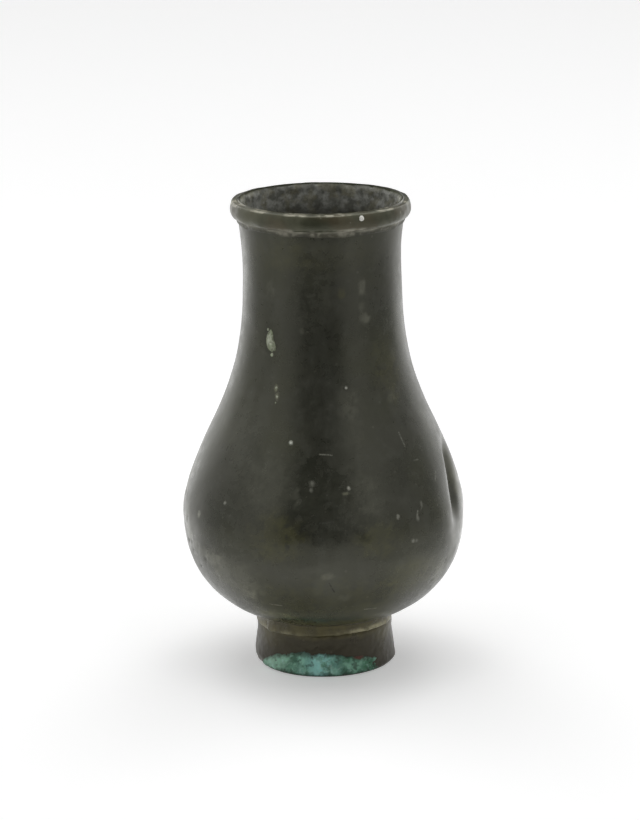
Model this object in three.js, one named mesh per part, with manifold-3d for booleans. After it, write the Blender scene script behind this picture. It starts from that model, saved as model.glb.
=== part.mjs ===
// A small pear-shaped bronze vase: a hollow casting of belly and neck, a rounded ring round its mouth,
// a flared foot ring under it and a plate that closes its bottom, all held together by soft solder.
// Millimetres, +Z up. The origin is on the axis, in the plane the foot stands on. Angles run round the
// axis from the front (-Y) towards the right (+X).

import * as THREE from "three";
import { mergeVertices } from "three/addons/utils/BufferGeometryUtils.js";
import Module from "manifold-3d";

const wasm = await Module();
wasm.setup();

// Driving dimensions of the whole vase
const HEIGHT = 130;
const BELLY_R = 38.8;
const BELLY_Z = 43.5;
const SHOULDER_R = 31.6; // where the outline turns from bulging to hollow
const SHOULDER_Z = 65;
const SHOULDER_LEAN = 0.5; // radius lost for each millimetre of height there
const NECK_R = 21.3;
const NECK_Z = 110.5;
const MOUTH_R = 21.5; // inside edge of the lip
const FOOT_R = 19.6;
const WALL = 2.3;

// How far the outline's curves hold their direction on each side of those places
const BELLY_PULL = { down: 11.9, up: 5.6 };
const SHOULDER_PULL = { down: 5, up: 16 };
const NECK_PULL = { down: 19, up: 6.7 };
const UNDERSIDE_PULL = { out: 17.8, up: 4 };
const SEAT_PULL = { in: 0.3, down: 3 };
const FOOT_PULL = { up: 2.2, down: 6.2 };

// Joints between the pieces
const FILM = 0.1; // thickness of the solder film in a joint
const RING_SEAT_R = 22.5; // outside of the neck just under the mouth ring
const RING_SEAT_Z = 125;
const RING_BORE_R = 22.2;
const SPIGOT_R = 16.2; // collar under the belly that plugs into the foot ring
const SPIGOT_ROOT_Z = 13.9;
const SPIGOT_END_Z = 9.5;
const FLOOR_HOLE_R = 12.6; // opening left in the casting, closed by the base plate
const FLOOR_HOLE_EDGE = 1.5;
const PLATE_R = 14.25;
const PLATE_THICKNESS = 2;
const FOOT_TOP_R = 18.35;
const FOOT_TOP_Z = 12.3;
const FOOT_LEDGE_R = 15.2; // the spigot stands on this ledge

// Detail sizes
const LIP_EDGE = 0.3;
const MOUTH_RING_R = 24.4;
const MOUTH_RING_FLAT_R = 23.2; // where the ring's round face runs out above and below
const MOUTH_RING_BULGE = 0.35;
const MOUTH_FILLET = { down: 1.2, out: 0.7, edge: 0.35 };
const FOOT_INSIDE_R = 16.9;
const FOOT_EDGE = 0.5;
const FOOT_TOP_EDGE = 0.25;
const FOOT_COVE = { out: 1.6, hollowOut: 0.3, hollowUp: 1.1 }; // solder between foot and belly
const BASE_BEAD = { inside: 0.9, outside: 0.75, flat: 0.3, deep: 0.65 };
const PLUG_R = 0.8; // bronze plugs in the holes that the core pins left
const PLUG_PLAY = 0.05;
const PLUG_SIDES = 16;
const DRILL_LENGTH = 3 * WALL;
const PLUG_TURN = 120; // degrees between the plugs of one row
const PLUGS_IN_ROW = 3;
const PLUG_ROWS = [
  { name: "upper", height: 83.2, firstAngle: 14.9 },
  { name: "lower", height: 69.7, firstAngle: -16.8 },
];
const DENT = { angle: 78, height: 47.5, halfWidth: 10, halfHeight: 10.5, depth: 1.5 };

// Facets round the axis, and along each curve of an outline
const SEGMENTS = 60;
const STEPS = {
  underside: 10,
  upperBelly: 6,
  lowerNeck: 8,
  upperNeck: 4,
  mouthFlare: 4,
  ringFace: 8,
  footFace: 5,
  cove: 40,
};

const at = (radius, height) => new THREE.Vector2(radius, height);

function curve(from, handleA, handleB, to, steps) {
  return new THREE.CubicBezierCurve(from, handleA, handleB, to).getPoints(steps);
}

// The outside of the casting from the foot's joint up to the mouth ring's seat, as smooth stretches.
const root = at(SPIGOT_R, SPIGOT_ROOT_Z);
const belly = at(BELLY_R, BELLY_Z);
const shoulder = at(SHOULDER_R, SHOULDER_Z);
const neck = at(NECK_R, NECK_Z);
const ringSeat = at(RING_SEAT_R, RING_SEAT_Z);
const alongShoulder = (rise) => at(SHOULDER_R - SHOULDER_LEAN * rise, SHOULDER_Z + rise);
const UNDERSIDE = [
  root,
  at(SPIGOT_R + UNDERSIDE_PULL.out, SPIGOT_ROOT_Z + UNDERSIDE_PULL.up),
  at(BELLY_R, BELLY_Z - BELLY_PULL.down),
  belly,
];
const UPPER_BELLY = [
  belly,
  at(BELLY_R, BELLY_Z + BELLY_PULL.up),
  alongShoulder(-SHOULDER_PULL.down),
  shoulder,
];
const LOWER_NECK = [
  shoulder,
  alongShoulder(SHOULDER_PULL.up),
  at(NECK_R, NECK_Z - NECK_PULL.down),
  neck,
];
const UPPER_NECK = [
  neck,
  at(NECK_R, NECK_Z + NECK_PULL.up),
  at(RING_SEAT_R - SEAT_PULL.in, RING_SEAT_Z - SEAT_PULL.down),
  ringSeat,
];

function outside(detail) {
  return [
    ...curve(...UNDERSIDE, STEPS.underside * detail),
    ...curve(...UPPER_BELLY, STEPS.upperBelly * detail).slice(1),
    ...curve(...LOWER_NECK, STEPS.lowerNeck * detail).slice(1),
    ...curve(...UPPER_NECK, STEPS.upperNeck * detail).slice(1),
  ];
}
const OUTSIDE = outside(1);

// Points moved square to the outline, towards the axis or, with a negative distance, away from it.
function offset(points, distance) {
  return points.map((point, i) => {
    const before = points[Math.max(i - 1, 0)];
    const after = points[Math.min(i + 1, points.length - 1)];
    const along = after.clone().sub(before).normalize();
    return at(point.x - along.y * distance, point.y + along.x * distance);
  });
}

// The radius of the outside at a height, and how far its normal points up there.
function outsideAt(height) {
  const i = OUTSIDE.findIndex((point, k) => k > 0 && point.y >= height);
  const [low, high] = [OUTSIDE[i - 1], OUTSIDE[i]];
  const share = (height - low.y) / (high.y - low.y);
  return {
    radius: THREE.MathUtils.lerp(low.x, high.x, share),
    tilt: Math.atan2(low.x - high.x, high.y - low.y),
  };
}

// A profile turned round the vertical axis, from the axis back to the axis.
function turned(profile) {
  return new THREE.LatheGeometry(profile, SEGMENTS).rotateX(Math.PI / 2);
}

// The same for a profile that goes round the metal of a ring and closes on itself.
function ring(profile) {
  return turned([...profile, profile[0]]);
}

function solid(geometry) {
  const bare = geometry.clone();
  bare.deleteAttribute("normal");
  bare.deleteAttribute("uv");
  const merged = mergeVertices(bare);
  return new wasm.Manifold(
    new wasm.Mesh({
      numProp: 3,
      vertProperties: merged.attributes.position.array,
      triVerts: new Uint32Array(merged.index.array),
    }),
  );
}

function geometryOf(manifold) {
  const { vertProperties, triVerts } = manifold.getMesh();
  const geometry = new THREE.BufferGeometry();
  geometry.setAttribute("position", new THREE.BufferAttribute(vertProperties, 3));
  geometry.setIndex(new THREE.BufferAttribute(triVerts, 1));
  geometry.computeVertexNormals();
  return geometry;
}

function metal(color, roughness, metalness) {
  return new THREE.MeshStandardMaterial({ color, roughness, metalness });
}

function piece(name, geometry, material) {
  const mesh = new THREE.Mesh(geometry, material);
  mesh.name = name;
  return mesh;
}

// An old knock in the right flank: both faces of the wall are pushed in together.
function pushIn(geometry, dent) {
  const position = geometry.getAttribute("position");
  const point = new THREE.Vector3();
  for (let i = 0; i < position.count; i++) {
    point.fromBufferAttribute(position, i);
    const radius = Math.hypot(point.x, point.y);
    const turn = Math.atan2(point.x, -point.y) - THREE.MathUtils.degToRad(dent.angle);
    const across = (turn * radius) / dent.halfWidth;
    const up = (point.z - dent.height) / dent.halfHeight;
    const kept = 1 - (dent.depth * Math.exp(-across * across - up * up)) / radius;
    position.setXYZ(i, point.x * kept, point.y * kept, point.z);
  }
  return geometry;
}

// Body casting: one wall of even thickness, thinning to the lip, with a spigot and a hole at the bottom.
const insideWall = offset(outside(0.5), WALL).filter(
  (point) => point.y < NECK_Z - WALL && point.x > FLOOR_HOLE_R + FLOOR_HOLE_EDGE,
);
const mouthFlare = curve(
  at(NECK_R - WALL, NECK_Z),
  at(NECK_R - WALL, NECK_Z + NECK_PULL.up),
  at(MOUTH_R - SEAT_PULL.in, HEIGHT - SEAT_PULL.down),
  at(MOUTH_R, HEIGHT - FILM - LIP_EDGE),
  STEPS.mouthFlare,
);
const floorEdgeZ = insideWall[0].y - LIP_EDGE;
const plateLedgeZ = SPIGOT_END_Z + PLATE_THICKNESS + FILM;
const wall = ring([
  ...OUTSIDE,
  at(RING_BORE_R - FILM, RING_SEAT_Z),
  at(RING_BORE_R - FILM, HEIGHT - FILM),
  at(MOUTH_R + LIP_EDGE, HEIGHT - FILM),
  ...[...insideWall, ...mouthFlare].reverse(),
  at(FLOOR_HOLE_R, floorEdgeZ),
  at(FLOOR_HOLE_R, plateLedgeZ),
  at(PLATE_R + FILM, plateLedgeZ),
  at(PLATE_R + FILM, SPIGOT_END_Z),
  at(SPIGOT_R, SPIGOT_END_Z),
]);

// Core plugs: short round pins driven square through the wall, three in each of two rows.
const plugs = new THREE.Group();
let pierced = solid(pushIn(wall, DENT));
for (const row of PLUG_ROWS) {
  const { radius, tilt } = outsideAt(row.height);
  for (let k = 0; k < PLUGS_IN_ROW; k++) {
    const turn = new THREE.Group();
    turn.rotation.z = THREE.MathUtils.degToRad(row.firstAngle + k * PLUG_TURN);
    const place = new THREE.Group();
    place.position.set(0, -radius, row.height);
    place.rotation.x = -tilt;
    const plug = piece(
      `core_plug_${row.name}_${k + 1}`,
      new THREE.CylinderGeometry(PLUG_R, PLUG_R, WALL, PLUG_SIDES),
      metal(0x6b6f60, 0.5, 0.5),
    );
    plug.position.y = WALL / 2;
    place.add(plug);
    turn.add(place);
    plugs.add(turn);

    const holeR = PLUG_R + PLUG_PLAY;
    const drill = new THREE.CylinderGeometry(holeR, holeR, DRILL_LENGTH, PLUG_SIDES);
    turn.updateMatrixWorld(true);
    pierced = pierced.subtract(solid(drill.applyMatrix4(plug.matrixWorld)));
  }
}
const bodyCasting = piece("body_casting", geometryOf(pierced), metal(0x3c3c34, 0.45, 0.6));

// Mouth ring: a rounded collar that drops over the neck's end onto a narrow ledge.
const mouth = new THREE.Group();
mouth.position.z = RING_SEAT_Z + FILM;
const ringHeight = HEIGHT - RING_SEAT_Z - FILM;
const ringFace = curve(
  at(MOUTH_RING_FLAT_R, 0),
  at(MOUTH_RING_R + MOUTH_RING_BULGE, MOUTH_RING_BULGE),
  at(MOUTH_RING_R + MOUTH_RING_BULGE, ringHeight - MOUTH_RING_BULGE),
  at(MOUTH_RING_FLAT_R, ringHeight),
  STEPS.ringFace,
);
const mouthRing = piece(
  "mouth_ring",
  ring([at(RING_BORE_R, 0), ...ringFace, at(RING_BORE_R, ringHeight - FILM)]),
  metal(0x45443a, 0.45, 0.6),
);

// Mouth ring solder: the fillet that shows as a pale line under the ring.
const filletFoot = outsideAt(RING_SEAT_Z - MOUTH_FILLET.down).radius + FILM;
const mouthRingSolder = piece(
  "mouth_ring_solder",
  ring([
    at(filletFoot, -MOUTH_FILLET.down - FILM),
    at(filletFoot + MOUTH_FILLET.edge, -MOUTH_FILLET.down),
    at(RING_SEAT_R + MOUTH_FILLET.out, -FILM),
    at(RING_SEAT_R + FILM, -FILM),
  ]),
  metal(0x8d8a7c, 0.6, 0.4),
);
mouth.add(mouthRing, mouthRingSolder);

// Foot ring: flared outside, with a socket and ledge inside for the spigot under the belly.
const foot = new THREE.Group();
const socketR = SPIGOT_R + FILM;
const socketZ = SPIGOT_END_Z - FILM;
const footFace = curve(
  at(FOOT_R, FOOT_EDGE),
  at(FOOT_R, FOOT_EDGE + FOOT_PULL.up),
  at(FOOT_TOP_R + FOOT_EDGE, FOOT_TOP_Z - FOOT_PULL.down),
  at(FOOT_TOP_R, FOOT_TOP_Z - FOOT_TOP_EDGE),
  STEPS.footFace,
);
const footRing = piece(
  "foot_ring",
  ring([
    at(FOOT_INSIDE_R, 0),
    at(FOOT_R - FOOT_EDGE, 0),
    ...footFace,
    at(FOOT_TOP_R - FOOT_TOP_EDGE, FOOT_TOP_Z),
    at(socketR, FOOT_TOP_Z),
    at(socketR, socketZ),
    at(FOOT_LEDGE_R, socketZ),
    at(FOOT_LEDGE_R, socketZ - FOOT_EDGE),
    at(FOOT_INSIDE_R - FOOT_TOP_EDGE, FOOT_EDGE),
  ]),
  metal(0x3b352e, 0.5, 0.55),
);

// Foot ring solder: a cove that fills the angle between the top of the foot and the belly's underside.
const coveTop = offset(curve(...UNDERSIDE, STEPS.cove), -FILM).filter(
  (point) => point.x > socketR && point.x < FOOT_TOP_R + FOOT_COVE.out,
);
const footRingSolder = piece(
  "foot_ring_solder",
  ring([
    at(coveTop[0].x, FOOT_TOP_Z + FILM),
    at(FOOT_TOP_R - FILM, FOOT_TOP_Z + FILM),
    at(FOOT_TOP_R + FOOT_COVE.hollowOut, FOOT_TOP_Z + FOOT_COVE.hollowUp),
    ...coveTop.reverse(),
  ]),
  metal(0x5a5646, 0.6, 0.4),
);
foot.add(footRing, footRingSolder);

// Base plate: a flat disc let into the spigot from below, and the solder bead run round its edge.
const base = new THREE.Group();
base.position.z = SPIGOT_END_Z;
const basePlate = piece(
  "base_plate",
  turned([at(0, 0), at(PLATE_R, 0), at(PLATE_R, PLATE_THICKNESS), at(0, PLATE_THICKNESS)]),
  metal(0x3f3d33, 0.55, 0.5),
);
const basePlateSolder = piece(
  "base_plate_solder",
  ring([
    at(PLATE_R - BASE_BEAD.inside, -FILM),
    at(PLATE_R - BASE_BEAD.flat, -BASE_BEAD.deep),
    at(PLATE_R + BASE_BEAD.flat, -BASE_BEAD.deep),
    at(PLATE_R + BASE_BEAD.outside, -FILM),
  ]),
  metal(0x77756a, 0.6, 0.4),
);
base.add(basePlate, basePlateSolder);

const vase = new THREE.Group();
vase.name = "vase";
vase.add(bodyCasting, plugs, mouth, foot, base);

export default vase;
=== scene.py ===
import math

import bmesh
import bpy
import numpy as np
from mathutils import Matrix, Vector, noise


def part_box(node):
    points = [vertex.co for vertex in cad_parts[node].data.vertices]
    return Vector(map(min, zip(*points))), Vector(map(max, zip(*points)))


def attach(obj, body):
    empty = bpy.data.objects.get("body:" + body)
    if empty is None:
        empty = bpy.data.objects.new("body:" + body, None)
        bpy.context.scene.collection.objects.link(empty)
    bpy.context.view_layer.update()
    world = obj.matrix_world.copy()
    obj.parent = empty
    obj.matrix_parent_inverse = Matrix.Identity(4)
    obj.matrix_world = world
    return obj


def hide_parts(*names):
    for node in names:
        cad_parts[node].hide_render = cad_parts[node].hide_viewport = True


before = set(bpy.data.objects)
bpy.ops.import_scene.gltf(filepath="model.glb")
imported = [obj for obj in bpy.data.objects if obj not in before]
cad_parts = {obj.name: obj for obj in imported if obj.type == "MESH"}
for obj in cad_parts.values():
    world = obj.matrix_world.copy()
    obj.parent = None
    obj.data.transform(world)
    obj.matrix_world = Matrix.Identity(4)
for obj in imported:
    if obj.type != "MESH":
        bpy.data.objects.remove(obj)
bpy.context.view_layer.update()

# Body casting: belly, shoulder and neck, poured in one piece of bronze round a clay core and scraped smooth
# outside. It is knocked in on its right side, scratched and pitted, and left as cast inside.
MM = 0.001
CORNER = math.radians(50)
SAME_PLANE = 0.002 * MM
FEEL_ASIDE, FEEL_UP = 0.01, 0.3 * MM
CASTING_COLUMNS = 360
OUTSIDE_STEP, INSIDE_STEP = 0.55 * MM, 1.8 * MM
SEEN_INSIDE_FROM = 96 * MM
BELLY_SLACK = 0.5 * MM
SPIGOT_TOP, WALL_FROM = 14 * MM, 18 * MM
NECK_TO, RING_SEAT = 121.8 * MM, 124.8 * MM
FACING = (0.0, 0.2)
SIDEWAYS = 0.05
# Lumps: how fast finer ones fade, how much finer each layer is, and how many layers there are.
LUMP_KIND = (1.0, 2.0, 3)
SEED_SHIFT = 31.7
# Layers of unevenness: size and height in mm, and a seed.
SCRAPED_SKIN = [(24, 0.14, 1), (9, 0.04, 2)]
UNEVEN_BELLY = [(11, 0.09, 5), (4, 0.03, 9)]
UNEVEN_BELOW = (40 * MM, 64 * MM)
CAST_SKIN = [(5, 0.2, 3), (1.6, 0.12, 4)]
# The dent: degrees from the front, height, half width and half height.
DENT, DENT_DEPTH = (78, 47.5 * MM, 10 * MM, 10.5 * MM), 1.5 * MM
CREASE = {"top": (83, 61 * MM), "foot": (72, 43.5 * MM), "across": 3.5 * MM, "depth": 1.9 * MM,
          "fade": 4.5 * MM}
DENTS_BELOW = 100 * MM
FULLER_RIGHT = 0.45 * MM
FULLER_SIDE = (0.3, 0.9)
FULLER_FROM, FULLER_TO = (22 * MM, 36 * MM), (106 * MM, 120 * MM)
LIP_FROM, LIP_TOP = 129.0 * MM, 129.7 * MM
LIP_NICK = 0.25 * MM
NICK_LUMPS, NICK_FADE = [(4, 1.0, 6)], (-0.1, 0.4)
# Painted shade on the lip inside the mouth ring: its share on the front half; the back half gets it in full.
LIP_SHADE_FRONT = 0.7
BACK_HALF = (0.0, 0.6)
# Painted shade inside the neck: full below the first height, gone at the second.
INSIDE_SHADE_FROM = (120 * MM, 128.5 * MM)
# Painted shade on the lower front of the belly, for the shadowed table that it mirrors: the heights where it
# comes in and goes, how near the front it lies, and its strength. It is laid on as metal, which takes away
# the diffuse colour.
BELLY_SHADE_FROM, BELLY_SHADE_TO = (17 * MM, 21 * MM), (24 * MM, 38 * MM)
BELLY_SHADE_FRONT = (0.72, 0.96)
BELLY_SHADE_SHARE = 0.75
# Pits in the outside: degrees from the front, height, width and depth in mm.
PITS = [(-84, 48.8, 1.4, 0.3), (-74, 43, 1.1, 0.22), (-70, 37.2, 1.0, 0.2), (-75, 36.8, 1.3, 0.35),
        (-70, 34.9, 0.9, 0.25), (-58, 34.5, 1.1, 0.3), (-63, 37.6, 0.7, 0.2), (-52, 30.2, 0.8, 0.2),
        (-66, 31.0, 1.0, 0.25), (-80, 40.5, 0.8, 0.25), (10.4, 55.6, 1.5, 0.18), (-73, 44, 0.8, 0.25),
        (55, 28, 1.0, 0.2), (61, 33, 0.8, 0.2), (118, 58, 1.2, 0.25), (142, 40, 1.4, 0.3),
        (176, 72, 1.0, 0.2), (-128, 52, 1.2, 0.25), (-151, 33, 1.0, 0.3)]
PIT_DIRT = (0.45, 1.0)
# Stains: degrees from the front, height, half width and half height in mm, and strength.
STAINS = {
    "pale": [
        (-26, 58, 8, 8, 0.22), (5, 53, 11, 11, 0.16), (-5, 111, 6, 8, 0.1), (-6, 103, 5, 6, 0.14),
        (-84, 51, 3, 5, 0.4), (-75, 44.5, 3, 4, 0.5), (-72, 39.5, 3, 3, 0.5), (-66, 36.5, 3.5, 3, 0.5),
        (-58, 36.5, 3, 2, 0.5), (49, 34.5, 3, 2, 0.4), (57, 30.5, 3, 4, 0.5), (66, 36, 3, 5, 0.4),
        (1.5, 34.7, 1.6, 1.1, 0.6), (-11.7, 55, 0.9, 3.6, 0.35), (30, 109.3, 1.1, 2.4, 0.6),
        (29.6, 103.6, 1.0, 1.6, 0.55), (32, 100.9, 1.5, 1.5, 0.75), (-40, 108, 1.6, 2.8, 0.3),
        (-14, 97.8, 1.1, 1.0, 0.35), (-52, 36, 3.5, 3.5, 0.6), (-42, 31, 9, 7, 0.5),
        (-35, 26.9, 3, 2, 0.6), (9, 27.9, 1.8, 1.1, 0.35), (60, 31, 6, 5, 0.45), (87, 51, 3, 8, 0.4),
        (16, 74, 3.5, 9, 0.15), (15, 79, 3, 5, 0.28), (45, 79, 1.4, 1.8, 0.3), (19.5, 55, 5, 6, 0.2),
        (-46, 68, 6, 10, 0.15), (-120, 80, 5, 9, 0.3), (178, 98, 2, 4, 0.35), (110, 36, 8, 5, 0.35),
        (-164, 40, 6, 6, 0.25)],
    "olive": [
        (0, 17, 15, 2.4, 0.8), (-26, 19, 8, 3.5, 0.5), (30, 18, 8, 2.5, 0.5), (0, 27, 22, 7, 0.25),
        (-19, 45, 8, 7, 0.5), (22, 44, 7, 5, 0.45), (38, 32.3, 8, 5, 0.45), (14.4, 108.2, 1.1, 1.6, 0.5),
        (-19, 20.6, 1.6, 1.1, 0.9), (4, 118, 16, 5, 0.12), (-28, 118, 10, 5, 0.2), (46, 86, 5, 9, 0.3),
        (86, 52, 4, 9, 0.3), (150, 62, 9, 8, 0.4), (-95, 30, 9, 5, 0.4), (-140, 104, 6, 9, 0.4)],
    "dark": [
        (-39, 94.7, 2.6, 5.0, 0.7), (-3.5, 34.9, 1.4, 1.1, 0.5), (2, 42, 7, 4, 0.15),
        (-4, 74, 9, 12, 0.35), (-40, 106.4, 0.9, 1.2, 0.6), (30, 106, 1.2, 1.4, 0.4),
        (52, 40, 7, 5, 0.3), (-60, 32, 2.5, 0.8, 0.4), (-52.6, 33.3, 3, 0.7, 0.5),
        (-150, 50, 6, 5, 0.5), (125, 74, 5, 7, 0.4)]}
STAIN_RAG = [(2.2, 0.7, 7), (0.9, 0.6, 8)]
STAIN_FADE = (0.15, 0.85)


def section_of(node):
    """Outline of a turned CAD node behind the axis: (radius, height) points with the metal on their left."""
    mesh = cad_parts[node].data
    behind = {}
    for vertex in mesh.vertices:
        if abs(vertex.co.x) < SAME_PLANE and vertex.co.y > -SAME_PLANE:
            behind[vertex.index] = (round(vertex.co.y, 6), round(vertex.co.z, 6))
    links = {}
    for edge in mesh.edges:
        a, b = (behind.get(end) for end in edge.vertices)
        if a and b and a != b:
            links.setdefault(a, set()).add(b)
            links.setdefault(b, set()).add(a)
    loose_ends = [point for point in links if len(links[point]) == 1]
    outline = [min(loose_ends or links)]
    onward = links[outline[0]]
    while onward:
        outline.append(min(onward))
        onward = links[outline[-1]] - set(outline)
    outline = np.array(outline)
    after = np.roll(outline, -1, axis=0)
    area = np.sum(outline[:, 0] * after[:, 1] - after[:, 0] * outline[:, 1])
    return outline if area > 0 else outline[::-1]


def curve_through(points, pieces=16):
    """Fine points on a smooth curve through a few points."""
    if len(points) == 2:
        return points
    chord = np.linalg.norm(np.diff(points, axis=0), axis=1)
    at = np.concatenate([[0], np.cumsum(chord)])
    slope = np.gradient(points, at, axis=0, edge_order=2)
    fine = np.linspace(at[:-1], at[1:], pieces, endpoint=False).T.ravel()
    fine = np.append(fine, at[-1])
    start = np.clip(np.searchsorted(at, fine, side="right") - 1, 0, len(chord) - 1)
    t = ((fine - at[start]) / chord[start])[:, None]
    pull = chord[start][:, None]
    near = (1 + 2 * t) * (1 - t) ** 2 * points[start] + t * (1 - t) ** 2 * pull * slope[start]
    far = t * t * (3 - 2 * t) * points[start + 1] + t * t * (t - 1) * pull * slope[start + 1]
    return near + far


def spaced_out(curve, steps):
    """Points along a curve, one for each whole step; steps is how many steps long each of its pieces is."""
    along = np.concatenate([[0], np.cumsum(steps)])
    at = np.linspace(0, along[-1], max(1, round(along[-1])) + 1)
    return np.column_stack([np.interp(at, along, curve[:, axis]) for axis in (0, 1)])


def smooth_outline(points, step_of, closed=True):
    """The same outline with its facets made round and points about a step apart; corners stay."""
    count = len(points)
    before = points - np.roll(points, 1, axis=0)
    after = np.roll(points, -1, axis=0) - points
    cross = before[:, 0] * after[:, 1] - before[:, 1] * after[:, 0]
    turn = np.abs(np.arctan2(cross, np.sum(before * after, axis=1)))
    corners = [i for i in range(count) if turn[i] > CORNER or (not closed and i in (0, count - 1))]
    ends = corners[1:] + [corners[0] + count] if closed else corners[1:]
    made = []
    for first, last in zip(corners, ends):
        curve = curve_through(points[np.arange(first, last + 1) % count])
        steps = np.linalg.norm(np.diff(curve, axis=0), axis=1) / step_of(curve[1:])
        made.append(spaced_out(curve, steps)[:-1])
    if not closed:
        made.append(points[-1:])
    return np.vstack(made)


def turned_grid(outline, columns, closed=True):
    """Angles from the front, radii and heights of a turned outline, and which way its face looks."""
    ahead = np.roll(outline, -1, axis=0) - np.roll(outline, 1, axis=0)
    if not closed:
        ahead[0] = outline[1] - outline[0]
        ahead[-1] = outline[-1] - outline[-2]
    ahead = ahead / np.linalg.norm(ahead, axis=1)[:, None]
    size = (len(outline), columns)
    angle = np.broadcast_to(np.arange(columns) * math.tau / columns, size)
    lines = [outline[:, 0], outline[:, 1], ahead[:, 1], -ahead[:, 0]]
    return [angle] + [np.broadcast_to(line[:, None], size) for line in lines]


def even_grid(node, step, columns, closed=True):
    """The turned grid of a CAD node with all its rows about a step apart."""
    outline = smooth_outline(section_of(node), lambda curve: np.full(len(curve), step), closed)
    return turned_grid(outline, columns, closed)


def stand(angle, radius, height):
    """Points at an angle from the front (towards the right), a radius and a height."""
    return np.stack([radius * np.sin(angle), -radius * np.cos(angle), height + 0 * angle], axis=-1)


def lumps(points, size, seed):
    """Unevenness of about that size at each point, mostly between -1 and 1."""
    spots = points.reshape(-1, 3) / size + SEED_SHIFT * seed
    return np.array([noise.fractal(spot, *LUMP_KIND) for spot in spots]).reshape(points.shape[:-1])


def ripple(points, layers):
    """Layers of lumps at each point: (size in mm, share, seed) for each layer."""
    return sum(share * lumps(points, size * MM, seed) for size, share, seed in layers)


def uneven(points, layers):
    """How far an uneven skin stands out at each point: layers of (size, height, seed) in mm."""
    return MM * ripple(points, layers)


def ease(value, low, high):
    """0 below low, 1 above high, smooth between them."""
    t = np.clip((value - low) / (high - low), 0, 1)
    return t * t * (3 - 2 * t)


def swell(value, middle, half):
    """A rounded swell along one measure, 1 at its middle."""
    return np.exp(-((value - middle) / half) ** 2)


def hill(angle, radius, height, at_angle, at_height, across, tall):
    """A rounded hill on a turned surface, 1 at its middle."""
    turn = (angle - math.radians(at_angle) + math.pi) % math.tau - math.pi
    return swell(turn * radius, 0, across) * swell(height, at_height, tall)


def spread(angle, radius, places, across):
    """Rounded hills round a ring, one for each (angle, amount) of the places."""
    level = np.zeros_like(angle)
    return sum(amount * hill(angle, radius, level, at_angle, 0, across, MM) for at_angle, amount in places)


def at_back(angle):
    """0 on the front half of the vase, going over to 1 at its back."""
    return ease(-np.cos(angle), *BACK_HALF)


def turned_piece(name, points, closed=True, masks=None):
    """A mesh over a grid of turned points, with its masks as vertex values."""
    index = np.arange(points.shape[0] * points.shape[1]).reshape(points.shape[:2])
    low = index if closed else index[:-1]
    high = np.roll(index, -1, axis=0) if closed else index[1:]
    faces = np.stack([low, np.roll(low, -1, axis=1), np.roll(high, -1, axis=1), high], axis=-1)
    return mesh_piece(name, points, faces.reshape(-1, 4), masks)


def mesh_piece(name, points, faces, masks=None):
    """An object of points and faces, shaded smooth but for its sharp edges, with masks as vertex values."""
    mesh = bpy.data.meshes.new(name)
    mesh.from_pydata(np.reshape(points, (-1, 3)).tolist(), [], [tuple(face) for face in faces])
    for label, values in (masks or {}).items():
        mesh.attributes.new(label, "FLOAT", "POINT").data.foreach_set("value", np.ravel(values))
    mesh.validate()
    mesh.shade_smooth()
    mesh.set_sharp_from_angle(angle=CORNER)
    piece = bpy.data.objects.new(name, mesh)
    bpy.context.scene.collection.objects.link(piece)
    return piece


def fit(piece, material, slot, *nodes):
    """Gives a piece its finish and lets it stand for its CAD nodes on the vase."""
    piece.data.materials.append(material)
    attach(piece, "root")
    if nodes:
        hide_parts(*nodes)


def skin_finder(levels, reach):
    """A function that finds points on a turned wall, given its radius at each of its heights and columns."""
    columns = reach.shape[1]

    def point(turn, level):
        column = turn / math.tau * columns % columns
        left = int(column)
        part = column - left
        sides = [(left % columns, 1 - part), ((left + 1) % columns, part)]
        radius = sum(np.interp(level, levels, reach[:, side]) * share for side, share in sides)
        return Vector((radius * math.sin(turn), -radius * math.cos(turn), level))

    def find(at_angle, at_height):
        turn = math.radians(at_angle)
        aside = point(turn + FEEL_ASIDE, at_height) - point(turn - FEEL_ASIDE, at_height)
        upward = point(turn, at_height + FEEL_UP) - point(turn, at_height - FEEL_UP)
        return point(turn, at_height), aside.cross(upward).normalized()

    return find


casting_section = section_of("body_casting")
belly_radius = casting_section[:, 0].max()


def casting_steps(curve):
    """Close rows outside and near the mouth, wide ones deep inside."""
    seen = (curve[:, 0].max() > belly_radius - BELLY_SLACK) | (curve[:, 1] > SEEN_INSIDE_FROM)
    return np.where(seen, OUTSIDE_STEP, INSIDE_STEP)


casting_outline = smooth_outline(casting_section, casting_steps)
angle, radius, height, out_r, out_z = turned_grid(casting_outline, CASTING_COLUMNS)
true_round = stand(angle, radius, height)
above_spigot = ease(height, SPIGOT_TOP, WALL_FROM)
outside = ease(out_r, *FACING) * above_spigot * (1 - ease(height, NECK_TO, RING_SEAT))
inside = ease(-out_r, *FACING) * above_spigot
low_down = 1 - ease(height, *UNEVEN_BELOW)
push = outside * (uneven(true_round, SCRAPED_SKIN) + low_down * uneven(true_round, UNEVEN_BELLY))
push = push + inside * uneven(true_round, CAST_SKIN)
pitted = 0
for at_angle, at_height, width, depth in PITS:
    pit = hill(angle, radius, height, at_angle, at_height * MM, width * MM / 2, width * MM / 2)
    push = push - outside * depth * MM * pit
    pitted = pitted + pit
fuller = ease(np.sin(angle), *FULLER_SIDE) * ease(height, *FULLER_FROM) * (1 - ease(height, *FULLER_TO))
push = push + outside * FULLER_RIGHT * fuller
dent = DENT_DEPTH * hill(angle, radius, height, *DENT)
(top_angle, top_height), (foot_angle, foot_height) = CREASE["top"], CREASE["foot"]
part_down = np.clip((top_height - height) / (top_height - foot_height), 0, 1)
off_crease = (angle - np.radians(top_angle + part_down * (foot_angle - top_angle))) * radius
past_ends = np.maximum(height - top_height, foot_height - height)
fading = 1 - ease(past_ends, -CREASE["fade"], CREASE["fade"])
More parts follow.
